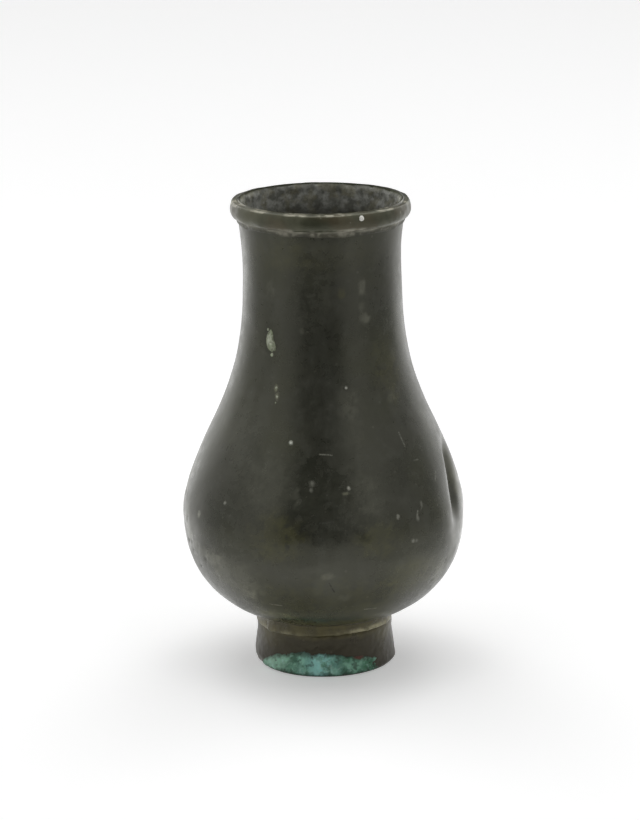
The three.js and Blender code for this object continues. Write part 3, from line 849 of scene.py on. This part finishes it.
angle, radius, height, out_r, out_z = even_grid("base_plate_solder", BEAD_STEP, BEAD_COLUMNS)
push = ease(-out_z, *BEAD_FACING) * (uneven(stand(angle, radius, height), BEAD_SKIN) - BEAD_SUNK)
base_solder = turned_piece("base_solder", stand(angle, radius + push * out_r, height + push * out_z))
plate_solder = corroded_finish("pale_plate_solder", **BEAD_LOOK)[0]
fit(base_solder, plate_solder, "solder", "base_plate_solder")

# Foot ring: a flared bronze ring with a socket for the casting's spigot. Its wall has corroded to a dull dark
# brown, and its lower edge is chipped and worn away on the left.
FOOT_COLUMNS = 420
FOOT_STEP = 0.3 * MM
FOOT_FACING = (0.1, 0.5)
FOOT_SKIN = [(6, 0.12, 61), (1.5, 0.06, 62)]
FOOT_SUNK = 0.03 * MM
WALL_RADIUS = (17.6 * MM, 18.2 * MM)
WALL_TOP = (11.6 * MM, 12.3 * MM)
CHIP = {"angle": -78, "spread": 10 * MM, "up": 3.2 * MM, "depth": 0.8 * MM, "radius": (16.9 * MM, 18.9 * MM)}
CHIP_RAG = [(3, 0.5, 63)]
# Painted reflection: places round the wall painted paler olive, by degrees from the front and strength. The
# wall is olive towards its top too.
SIDE_LIGHT_PLACES = [(-64, 0.9), (-50, 0.5), (56, 0.6), (70, 0.9), (130, 0.6), (-150, 0.6)]
SIDE_LIGHT_LENGTH = 4 * MM
SIDE_LIGHT_FROM, SIDE_LIGHT_RAG = (5 * MM, 11 * MM), [(4, 1.6, 64)]
OLIVE_TOP, OLIVE_TOP_RAG = (9.8 * MM, 11.8 * MM), [(2.5, 0.8, 65)]
CRUST_FACING, CRUST_RADIUS, CRUST_BELOW = 0.4, 18 * MM, 12 * MM
FOOT_IOR = 1.52
FOOT_SHEEN = (1.0, 0.93, 0.7, 1)
OLIVE_TOP_AND_SIDE_LIGHT, OLIVE_AND_LIGHT_SHARE = (82, 77, 46), 0.7
CHIP_BARE, CHIP_SHOWS = (90, 87, 78), (0.1, 0.6, 0.0, 0.6)
FOOT_LOOK = {"tones": [(24, 20, 13), (38, 34, 25), (48, 45, 33), (80, 77, 66)], "cloud_scale": 130.0,
             "amounts": (0.4, 0.4), "roughness": (0.26, 0.42), "relief": 0.08 * MM}

angle, radius, height, out_r, out_z = even_grid("foot_ring", FOOT_STEP, FOOT_COLUMNS)
true_round = stand(angle, radius, height)
wall = ease(out_r, *FOOT_FACING) * ease(radius, *WALL_RADIUS)
push = wall * (1 - ease(height, *WALL_TOP)) * (uneven(true_round, FOOT_SKIN) - FOOT_SUNK)
chip = spread(angle, radius.max(), [(CHIP["angle"], 1)], CHIP["spread"])
chip = chip * (1 - ease(height, 0.0, CHIP["up"])) * ease(radius, *CHIP["radius"])
# Painted reflection: the wall's sides go paler olive from partway up, and the wall is olive towards its top
# as well.
sides = spread(angle, radius, SIDE_LIGHT_PLACES, SIDE_LIGHT_LENGTH)
olive = np.maximum(sides * ease(height + uneven(true_round, SIDE_LIGHT_RAG), *SIDE_LIGHT_FROM),
                   ease(height + uneven(true_round, OLIVE_TOP_RAG), *OLIVE_TOP))
foot_radius = radius + push * out_r - CHIP["depth"] * chip * (1 + ripple(true_round, CHIP_RAG))
foot_wall = turned_piece("foot_wall", stand(angle, foot_radius, np.maximum(height + push * out_z, 0)), masks={
    "chip": chip, "olive": wall * np.clip(olive, 0, 1)})
wall_rows = np.flatnonzero(
    (out_r[:, 0] > CRUST_FACING) & (radius[:, 0] > CRUST_RADIUS) & (height[:, 0] < CRUST_BELOW))
on_foot = skin_finder(height[wall_rows, 0], foot_radius[wall_rows])
foot_bronze, tree, shader, mottle = corroded_finish("dull_brown_foot", **FOOT_LOOK)
# Olive at the wall's top, and painted reflection on its sides.
color = painted(tree, mask_of(tree, "olive", OLIVE_AND_LIGHT_SHARE), mottle["Color"], OLIVE_TOP_AND_SIDE_LIGHT)
color = painted(tree, between(tree, mask_of(tree, "chip"), *CHIP_SHOWS), color, CHIP_BARE)
feed(tree, shader, {"Base Color": color, "IOR": FOOT_IOR, "Specular Tint": FOOT_SHEEN})
fit(foot_wall, foot_bronze, "foot_patina", "foot_ring")

# Solder between foot and belly: a broad cove of solder wiped round the joint and rubbed olive like the body.
# It laps over the top of the foot ring with a soft ridge, lower on the left than on the right.
COVE_HEIGHTS = (12.4 * MM, 13.3 * MM)
COVE_FACING = (0.1, 0.5)
COVE_SKIN = [(5, 0.16, 71), (1.6, 0.07, 72)]
COVE_FULLER = 0.06 * MM
RIDGE, RIDGE_HALF = 0.2 * MM, 0.5 * MM
# Laps in mm, places of painted highlight on the ridge and of painted shadow in the seam: degrees from the
# front, and how much.
LAPS = [(-60, 0.55), (-30, 0.35), (0, 0.12), (60, 0.15), (100, 0.5), (140, 0.6), (180, 0.4), (-140, 0.5),
        (-100, 0.4)]
LAP_LENGTH, LAP_RAG = 11 * MM, [(4, 0.3, 73)]
LEAST_LAP = 0.3 * MM
LAP_OUTWARD = 0.3
RIDGE_HIGHLIGHTS = [(-62, 0.5), (-33, 0.5), (-8, 0.15), (22, 0.5), (34, 1.1), (46, 1.2), (58, 1.1), (72, 0.8),
          (120, 0.7), (165, 0.5), (-150, 0.6), (-105, 0.6)]
RIDGE_HIGHLIGHT_LENGTH = 4 * MM
RIDGE_HIGHLIGHT_PATCHES = {"texture": (260.0, 3.0, 0.6), "shows": (0.35, 0.6, 0.15, 1.0)}
PAINTED_RIDGE_HIGHLIGHT = (176, 170, 138)
SEAM_SHADOWS = [(-22, 0.8), (-13, 0.7), (27, 0.6), (37, 0.8), (46, 0.7), (100, 0.6), (150, 0.7), (-90, 0.6),
              (-140, 0.7)]
SEAM_LENGTH, SEAM_FROM = 3 * MM, (14.0 * MM, 14.4 * MM)
SEAM_SHADOW_COLOUR = (26, 24, 16)
COVE_SHEEN = (1.0, 0.93, 0.66, 1)
COVE_LOOK = {"tones": [(38, 35, 15), (74, 69, 38), (66, 61, 26), (116, 111, 82)], "cloud_scale": 170.0,
             "amounts": (0.6, 0.4), "roughness": (0.26, 0.44), "relief": 0.08 * MM}

angle, radius, height, out_r, out_z = even_grid("foot_ring_solder", SOLDER_STEP, SOLDER_COLUMNS)
true_round = stand(angle, radius, height)
along_ring = stand(angle, radius, 0 * height)
low_part = 1 - ease(height, *COVE_HEIGHTS)
lap = MM * spread(angle, radius, LAPS, LAP_LENGTH) * (1 + ripple(along_ring, LAP_RAG))
lap = low_part * (lap + LEAST_LAP)
shown = ease(out_r, *COVE_FACING)
ridge = shown * swell(height, COVE_HEIGHTS[0], RIDGE_HALF)
push = shown * (uneven(true_round, COVE_SKIN) + COVE_FULLER) + RIDGE * ridge
cove_radius = radius + push * out_r + LAP_OUTWARD * lap * ease(radius, *WALL_RADIUS)
# Painted highlight: pale gold places on the ridge.
ridge_highlight = np.clip(ridge * spread(angle, radius, RIDGE_HIGHLIGHTS, RIDGE_HIGHLIGHT_LENGTH), 0, 1)
# Painted shadow: broken dark places at the top of the cove, under the belly's edge.
seam = ease(height, *SEAM_FROM) * np.clip(spread(angle, radius, SEAM_SHADOWS, SEAM_LENGTH), 0, 1)
foot_solder = turned_piece("foot_solder", stand(angle, cove_radius, height + push * out_z - lap), masks={
    "ridge_highlight": ridge_highlight, "seam": seam})
cove_solder, tree, shader, mottle = corroded_finish("olive_wiped_solder", **COVE_LOOK)
# Painted highlight on the ridge, and painted shadow in the seam under the belly.
patchy = patches_of(tree, place_of(tree), **RIDGE_HIGHLIGHT_PATCHES)
color = painted(tree, mask_of(tree, "ridge_highlight", patchy), mottle["Color"], PAINTED_RIDGE_HIGHLIGHT)
color = painted(tree, mask_of(tree, "seam"), color, SEAM_SHADOW_COLOUR)
feed(tree, shader, {"Base Color": color, "Specular Tint": COVE_SHEEN})
fit(foot_solder, cove_solder, "solder", "foot_ring_solder")

# Green crust: a lumpy growth of copper corrosion on the front of the foot, up to a slanting line, as if the
# vase had long stood tilted in damp ground. It is turquoise in the middle and greener towards its ends.
CRUST_ANGLES = (-70, 56)
CRUST_COLUMNS, CRUST_ROWS = 280, 32
CRUST_FOOT = 0.06 * MM
CRUST_TOP, CRUST_LEAN, CRUST_LOWER = 6.5 * MM, -7, 0.2 * MM
CRUST_TAPER, CRUST_TIP, CRUST_LEAST = (-72, -44), 0.35, 0.8 * MM
CRUST_MARGIN, TOP_FADE = 0.9 * MM, 0.6 * MM
CRUST_RAG = [(6, 0.7, 86), (1.6, 0.45, 81)]
CRUST_LEFT_END, CRUST_RIGHT_END = (-68, -54), (30, 54)
END_RAG, GROWN_FADE = [(1.8, 0.5, 85)], (0.15, 0.6)
CRUST_SKIN = [(2.6, 0.3, 83), (0.7, 0.2, 84)]
CRUST_THICK, CRUST_THINNEST, CRUST_BURIED = 0.3 * MM, 0.02 * MM, 0.14 * MM
THIN_BELOW = 1.3 * MM
CRUST_SUNK = 0.35 * MM
BLUE_MIDDLE, PALE_LEFT = (-4, 12), (-50, 14)
# Painted shade darkens the crust towards the ground, and the crust is darker near its top edge too.
EDGE_DARK_RAG, CONTACT_SHADE = [(1.5, 0.9, 87)], (0.2 * MM, 1.7 * MM)
DARK_TOP, DARK_TOP_SHARE = (-1.5 * MM, 0.2 * MM), 0.8
TURQUOISE = (182, 252, 244)
BLUE_PATCHES = {"texture": (420.0, 3.0, 0.55), "shows": (0.3, 0.55)}
PALE_GREEN, PALE_SHARE = (194, 242, 218), 0.75
CRUST_PALE, THICK_SHOWS = (196, 242, 228), (0.36, 0.62, 0.0, 0.7)
# One dark colour serves the thin gaps of the crust and its painted shade at the ground.
GAP_AND_CONTACT_SHADE, THIN_SHOWS, DARK_EDGES_SHARE = (36, 46, 38), (0.02, 0.2, 0.6, 0.0), 0.85
RED_SPOT = (29, 4.9, 1.5, 0.6, (104, 60, 54))
RED_EDGE, RED_WAVER = {"Soft": 0.5, "Ragged": 1.2}, (900.0, 3.0, 0.55)
CRUST_LOOK = {"tones": [(66, 118, 94), (156, 214, 188), (86, 150, 118), (206, 240, 224)],
              "cloud_scale": 360.0, "amounts": (0.6, 0.6), "roughness": (0.7, 0.9), "relief": 0.15 * MM}


def slab(name, front, back, masks):
    """A closed sheet between two grids of points, one in front of the other."""
    rows, columns = front.shape[:2]
    index = np.arange(rows * columns).reshape(rows, columns)
    quads = np.stack([index[:-1, :-1], index[:-1, 1:], index[1:, 1:], index[1:, :-1]], axis=-1).reshape(-1, 4)
    rim = np.concatenate([index[0, :-1], index[:-1, -1], index[-1, :0:-1], index[:0:-1, 0]])
    onward = np.roll(rim, -1)
    offset = rows * columns
    walls = np.stack([rim + offset, onward + offset, onward, rim], axis=-1)
    faces = np.concatenate([quads, quads[:, ::-1] + offset, walls])
    points = np.concatenate([front.reshape(-1, 3), back.reshape(-1, 3)])
    doubled = {label: np.concatenate([np.ravel(values), np.ravel(values)]) for label, values in masks.items()}
    return mesh_piece(name, points, faces, doubled)


degrees = np.linspace(*CRUST_ANGLES, CRUST_COLUMNS)
top_line = CRUST_TOP * np.cos(np.radians(degrees - CRUST_LEAN)) - CRUST_LOWER
top_line = np.maximum(top_line * (CRUST_TIP + (1 - CRUST_TIP) * ease(degrees, *CRUST_TAPER)), CRUST_LEAST)
level = CRUST_FOOT + np.linspace(0, 1, CRUST_ROWS)[:, None] * (top_line + CRUST_MARGIN)
found = [[on_foot(turn, z) for turn, z in zip(degrees, row)] for row in level]
face = np.array([[place for place, out in row] for row in found])
out = np.array([[out for place, out in row] for row in found])
at_degrees = np.broadcast_to(degrees, level.shape)
under_top = ease(top_line + uneven(face, CRUST_RAG) - level, -TOP_FADE, TOP_FADE)
ends = ease(at_degrees, *CRUST_LEFT_END) * (1 - ease(at_degrees, *CRUST_RIGHT_END))
grown = under_top * ease(ends + ripple(face, END_RAG), *GROWN_FADE)
growth = np.maximum(CRUST_THICK + uneven(face, CRUST_SKIN), CRUST_THINNEST)
thick = (growth * grown - CRUST_BURIED * (1 - grown)) * ease(level, 0.0, THIN_BELOW)
# Painted shade along the bottom of the crust where it meets the ground, and darker near its top edge as well.
edge_level = level + uneven(face, EDGE_DARK_RAG)
dark_top = DARK_TOP_SHARE * ease(edge_level - top_line, *DARK_TOP)
shade_low_dark_top = np.maximum(1 - ease(edge_level, *CONTACT_SHADE), dark_top)
crust_front = face + out * thick[..., None]
crust_back = face - out * CRUST_SUNK
for sheet in (crust_front, crust_back):
    sheet[..., 2] = np.maximum(sheet[..., 2], CRUST_FOOT)
green_crust = slab("green_crust", crust_front, crust_back, {
    "thick": thick / MM, "middle": swell(at_degrees, *BLUE_MIDDLE), "left": swell(at_degrees, *PALE_LEFT),
    "shade_low_dark_top": shade_low_dark_top})
verdigris, tree, shader, mottle = corroded_finish("green_copper_crust", **CRUST_LOOK)
where = place_of(tree)
blue = mask_of(tree, "middle", patches_of(tree, where, **BLUE_PATCHES))
color = painted(tree, blue, mottle["Color"], TURQUOISE)
color = painted(tree, mask_of(tree, "left", PALE_SHARE), color, PALE_GREEN)
color = painted(tree, between(tree, mask_of(tree, "thick"), *THICK_SHOWS), color, CRUST_PALE)
color = painted(tree, between(tree, mask_of(tree, "thick"), *THIN_SHOWS), color, GAP_AND_CONTACT_SHADE)
# Painted shade low on the crust, and its darker top edge.
color = painted(tree, mask_of(tree, "shade_low_dark_top", DARK_EDGES_SHARE), color, GAP_AND_CONTACT_SHADE)
*place, shade = RED_SPOT
red = spot_mask(tree, grain(tree, where, *RED_WAVER), on_foot, place, RED_EDGE)
feed(tree, shader, {"Base Color": painted(tree, red, color, shade)})
fit(green_crust, verdigris, "foot_patina")

# Pale corrosion flakes: thin scabs of grey-green corrosion grown on the casting, the largest a drop-shaped
# one on the left of the neck, and one white grain of lime stuck on the mouth ring.
FLAKE_RINGS, FLAKE_SPOKES = 8, 36
FLAKE_ROOT = 0.3 * MM
FLAKE_ROUGH, FLAKE_LUMP, FLAKE_KIND = 0.9, 0.6 * MM, (1.0, 2.0, 2)
FLAKE_DOME = 2.5
RIM_TUCK, RIM_CURVE = 0.06, 3
# Outlines of a flake in mm, anticlockwise. Flakes: degrees, height in mm, scale, thickness in mm, outline.
DROP = [(0.1, 3.4), (-0.8, 2.4), (-1.5, 0.8), (-1.55, -0.8), (-0.9, -2.2), (0.5, -3.3), (2.0, -3.0),
        (2.1, -1.6), (1.2, 0.6), (0.8, 2.3)]
BEAN = [(0.5, 0.1), (0.3, 0.45), (-0.2, 0.5), (-0.5, 0.1), (-0.4, -0.35), (0.1, -0.5), (0.42, -0.3)]
FLAKES = [(-38.8, 94.7, 1.0, 0.2, DROP), (-36.4, 90.9, 1.2, 0.1, BEAN), (-41.2, 97.4, 0.9, 0.1, BEAN),
          (-30.2, 82.5, 0.9, 0.1, BEAN), (-28.9, 80.3, 0.8, 0.1, BEAN), (-29.3, 78.7, 0.5, 0.08, BEAN),
          (-116, 88, 1.4, 0.12, BEAN), (152, 70, 1.2, 0.12, BEAN)]
GRAIN = (26.2, 128.5, 1.5, 0.45, BEAN)
FLAKE_EDGE, EDGE_SHOWS = (86, 94, 66), (0.5, 1.0, 0.0, 0.85)
EDGE_RAG = {"texture": (900.0, 3.0, 0.55), "shows": (0.3, 0.7, -0.4, 0.4)}
FLAKE_LOOK = {"tones": [(128, 134, 112), (206, 210, 192), (140, 156, 118), (222, 224, 212)],
              "cloud_scale": 900.0, "amounts": (0.5, 0.4), "roughness": (0.7, 0.9), "relief": 0.1 * MM}
GRAIN_LOOK = {"tones": [(220, 218, 210), (240, 239, 233), (230, 227, 216), (246, 245, 242)],
              "cloud_scale": 420.0, "amounts": (0.4, 0.4), "roughness": (0.6, 0.8), "relief": 0.08 * MM}


def flake_piece(name, find, flakes):
    """Scabs on a wall, each a domed sheet inside a rounded outline, closed by a point below the surface."""
    points, faces, edge = [], [], []
    for at_angle, at_height, scale, thick, outline in flakes:
        loop = curve_through(np.array(outline + outline[:1]))
        length = np.linalg.norm(np.diff(loop, axis=0), axis=1)
        rim = spaced_out(loop, length / length.sum() * FLAKE_SPOKES)[:-1] * scale * MM
        centre, straight_out = find(at_angle, at_height * MM)
        per_metre = math.degrees(1 / math.hypot(centre.x, centre.y))
        first = len(points)
        for ring in range(1, FLAKE_RINGS + 1):
            reach = ring / FLAKE_RINGS
            for aside, upward in rim * reach:
                point, out = find(at_angle + aside * per_metre, at_height * MM + upward)
                rough = 1 + FLAKE_ROUGH * noise.fractal(point / FLAKE_LUMP, *FLAKE_KIND)
                rise = thick * (1 - reach ** FLAKE_DOME) * rough - RIM_TUCK * reach ** RIM_CURVE
                edge.append(reach)
                points.append(point + out * MM * rise)
        ring_starts = [first + ring * FLAKE_SPOKES for ring in range(FLAKE_RINGS)]
        points += [centre + straight_out * thick * MM, centre - straight_out * FLAKE_ROOT]
        edge += [0, 1]
        for spoke in range(FLAKE_SPOKES):
            after = (spoke + 1) % FLAKE_SPOKES
            faces.append((len(points) - 2, first + spoke, first + after))
            for inner, outer in zip(ring_starts, ring_starts[1:]):
                faces.append((inner + spoke, outer + spoke, outer + after, inner + after))
            faces.append((ring_starts[-1] + after, ring_starts[-1] + spoke, len(points) - 1))
    return mesh_piece(name, points, faces, {"edge": np.array(edge)})


pale_flakes = flake_piece("pale_flakes", on_body, FLAKES)
flake_finish, tree, shader, mottle = corroded_finish("pale_corrosion", **FLAKE_LOOK)
near_edge = math_of(tree, "ADD", mask_of(tree, "edge"), patches_of(tree, place_of(tree), **EDGE_RAG))
color = painted(tree, between(tree, near_edge, *EDGE_SHOWS), mottle["Color"], FLAKE_EDGE)
feed(tree, shader, {"Base Color": color})
fit(pale_flakes, flake_finish, "plug_bronze")
white_grain = flake_piece("white_grain", on_ring, [GRAIN])
grain_finish = corroded_finish("white_lime_grain", **GRAIN_LOOK)[0]
fit(white_grain, grain_finish, "plug_bronze")

# Studio: the vase stands on a wide white table in a white room, under one large soft lamp. A round screen
# that only the bronze mirrors stands in for the rest of the room, dark towards the camera and half bright
# beside it.
WHITE, BLACK = (1, 1, 1, 1), (0, 0, 0, 1)
TABLE_HALF = 4.0
TABLE_CORNERS = [(-1, -1, 0), (1, -1, 0), (1, 1, 0), (-1, 1, 0)]
TABLE_WHITE = (0.86, 0.86, 0.86, 1)
TABLE_ROUGHNESS, TABLE_SHINE, TABLE_GLOW = 0.9, 0.1, 0.32
LAMP_PLACE = (0, 0.1, 1.3)
LAMP_WIDTH = 1.2
LAMP_WATTS = 6.0
SCREEN_COLUMNS = 96
SCREEN_OUTLINE = [(0.1, 0.0005), (0.25, 0.0005), (0.47, 0.0005), (0.7, 0.06), (0.8, 0.25), (0.8, 1.1)]
WHITE_WITHIN, DIM_FROM = 0.1, 0.47
NEAR_FRONT, NEAR_BACK, BACK_FROM = 0.68, 1.65, (0.1, 0.75)
FRONT_MIDDLE = math.radians(1.5)
FRONT_HALF = (math.radians(20.5), math.radians(34.5))
FRONT_LOW, FRONT_DARK = (0.0, 0.24), 0.85
HIGH_FROM, HIGH_GAIN = (0.15, 0.6), 1.25
# Brightness of the room round the vase, from the back over the left, the front and the right: degrees, level.
ROOM_LIGHT = [(-180, 0.15), (-170, 0.15), (-157, 1.5), (-136, 1.4), (-121, 0.74), (-106, 0.5), (-78, 0.46),
              (-58, 0.64), (-42, 0.54), (-31, 0.24), (-20, 0.05), (13, 0.05), (28, 0.29), (42, 0.64),
              (66, 0.34), (100, 0.36), (114, 0.5), (130, 1.12), (157, 1.3), (170, 0.15), (180, 0.15)]


def make_room_light():
    """How bright the room is in each direction round the vase."""
    tree, given, result = effect("room_light", [
        ("Direction", "Vector", (0, 0, 0)), ("High Gain", "Float", 1.0)], [("Level", "Color")])
    parts = wire(tree, "SeparateXYZ", {0: vector_of(tree, "NORMALIZE", given["Direction"])}).node.outputs
    turn = math_of(tree, "ARCTAN2", parts["X"], math_of(tree, "MULTIPLY", parts["Y"], -1.0))
    part_round = math_of(tree, "ADD", math_of(tree, "DIVIDE", turn, math.tau), 0.5)
    ramp = wire(tree, "ValToRGB", {"Fac": part_round}).node
    stops = ramp.color_ramp.elements
    for degrees, _ in ROOM_LIGHT[1:-1]:
        stops.new(degrees / 360 + 0.5)
    for stop, (degrees, level) in zip(stops, ROOM_LIGHT):
        stop.position = degrees / 360 + 0.5
        stop.color = (level, level, level, 1)
    gain = between(tree, parts["Z"], *HIGH_FROM, 1.0, given["High Gain"])
    level = wire(tree, "VectorMath", {0: ramp.outputs["Color"], "Scale": gain}, operation="SCALE")
    off_front = math_of(tree, "ABSOLUTE", math_of(tree, "SUBTRACT", turn, FRONT_MIDDLE))
    dark = math_of(tree, "MULTIPLY", between(tree, off_front, *FRONT_HALF, FRONT_DARK, 0.0),
                   between(tree, parts["Z"], *FRONT_LOW, 1.0, 0.0))
    tree.links.new(tinted(tree, dark, level, BLACK), result["Level"])
    return tree


def in_plain_sight(tree):
    """1 for what is seen, straight, mirrored or through glass, and 0 for light that only falls on things."""
    rays = wire(tree, "LightPath", {}).node.outputs
    seen = math_of(tree, "MAXIMUM", rays["Is Camera Ray"], rays["Is Glossy Ray"])
    return math_of(tree, "MAXIMUM", seen, rays["Is Transmission Ray"])


room_light = make_room_light()
white_table = mesh_piece("white_table", np.array(TABLE_CORNERS) * TABLE_HALF, [(0, 1, 2, 3)])
table_white, tree, shader = new_finish("table_white")
feed(tree, shader, {
    "Base Color": TABLE_WHITE, "Roughness": TABLE_ROUGHNESS, "Specular IOR Level": TABLE_SHINE,
    "Emission Color": in_plain_sight(tree), "Emission Strength": TABLE_GLOW})
white_table.data.materials.append(table_white)

screen_grid = turned_grid(np.array(SCREEN_OUTLINE), SCREEN_COLUMNS, closed=False)
room_screen = turned_piece("room_screen", stand(*screen_grid[:3]), closed=False)
screen_light, tree, shader = new_finish("screen_light")
where = place_of(tree)
away = between(tree, vector_of(tree, "LENGTH", where, out="Value"), WHITE_WITHIN, DIM_FROM)
level = place_effect(tree, room_light, {"Direction": where, "High Gain": HIGH_GAIN})["Level"]
backward = wire(tree, "SeparateXYZ", {0: vector_of(tree, "NORMALIZE", where)}, out="Y")
near = between(tree, backward, *BACK_FROM, NEAR_FRONT, NEAR_BACK)
feed(tree, shader, {
    "Base Color": BLACK, "Specular IOR Level": 0.0, "Emission Color": tinted(tree, away, near, level),
    "Emission Strength": 1.0})
room_screen.data.materials.append(screen_light)
room_screen.visible_camera = False
room_screen.visible_diffuse = False
room_screen.visible_transmission = False
room_screen.visible_shadow = False

lamp = bpy.data.lights.new("soft_lamp", "AREA")
lamp.shape = "SQUARE"
lamp.size = LAMP_WIDTH
lamp.energy = LAMP_WATTS
soft_lamp = bpy.data.objects.new("soft_lamp", lamp)
soft_lamp.location = LAMP_PLACE
bpy.context.scene.collection.objects.link(soft_lamp)

room = bpy.data.worlds.new("white_room")
room.use_nodes = True
tree = room.node_tree
level = place_effect(tree, room_light, {"Direction": wire(tree, "TexCoord", {}, out="Generated")})["Level"]
feed(tree, tree.nodes["Background"], {"Color": tinted(tree, in_plain_sight(tree), level, WHITE)})
bpy.context.scene.world = room
bpy.context.scene.view_settings.view_transform = "Standard"

# Camera: a long lens in front of the vase, looking down on it from a little above, and rolled by half a
# degree. Its place and focal length were worked out from the ellipses of the mouth and the foot.
CAMERA_PLACE = (-0.000716, -0.862, 0.2989)
CAMERA_DOWN = math.radians(14.83)
CAMERA_ROLL = math.radians(-0.54)
FRAME_TALL = 820
FOCUS_PIXELS = 3251
SENSOR = 36

lens = bpy.data.cameras.new("camera")
lens.sensor_fit = "VERTICAL"
lens.sensor_height = SENSOR
lens.lens = FOCUS_PIXELS / FRAME_TALL * SENSOR
camera = bpy.data.objects.new("camera", lens)
aim = Matrix.Rotation(math.pi / 2 - CAMERA_DOWN, 4, "X") @ Matrix.Rotation(CAMERA_ROLL, 4, "Z")
camera.matrix_world = Matrix.Translation(CAMERA_PLACE) @ aim
bpy.context.scene.collection.objects.link(camera)
bpy.context.scene.camera = camera
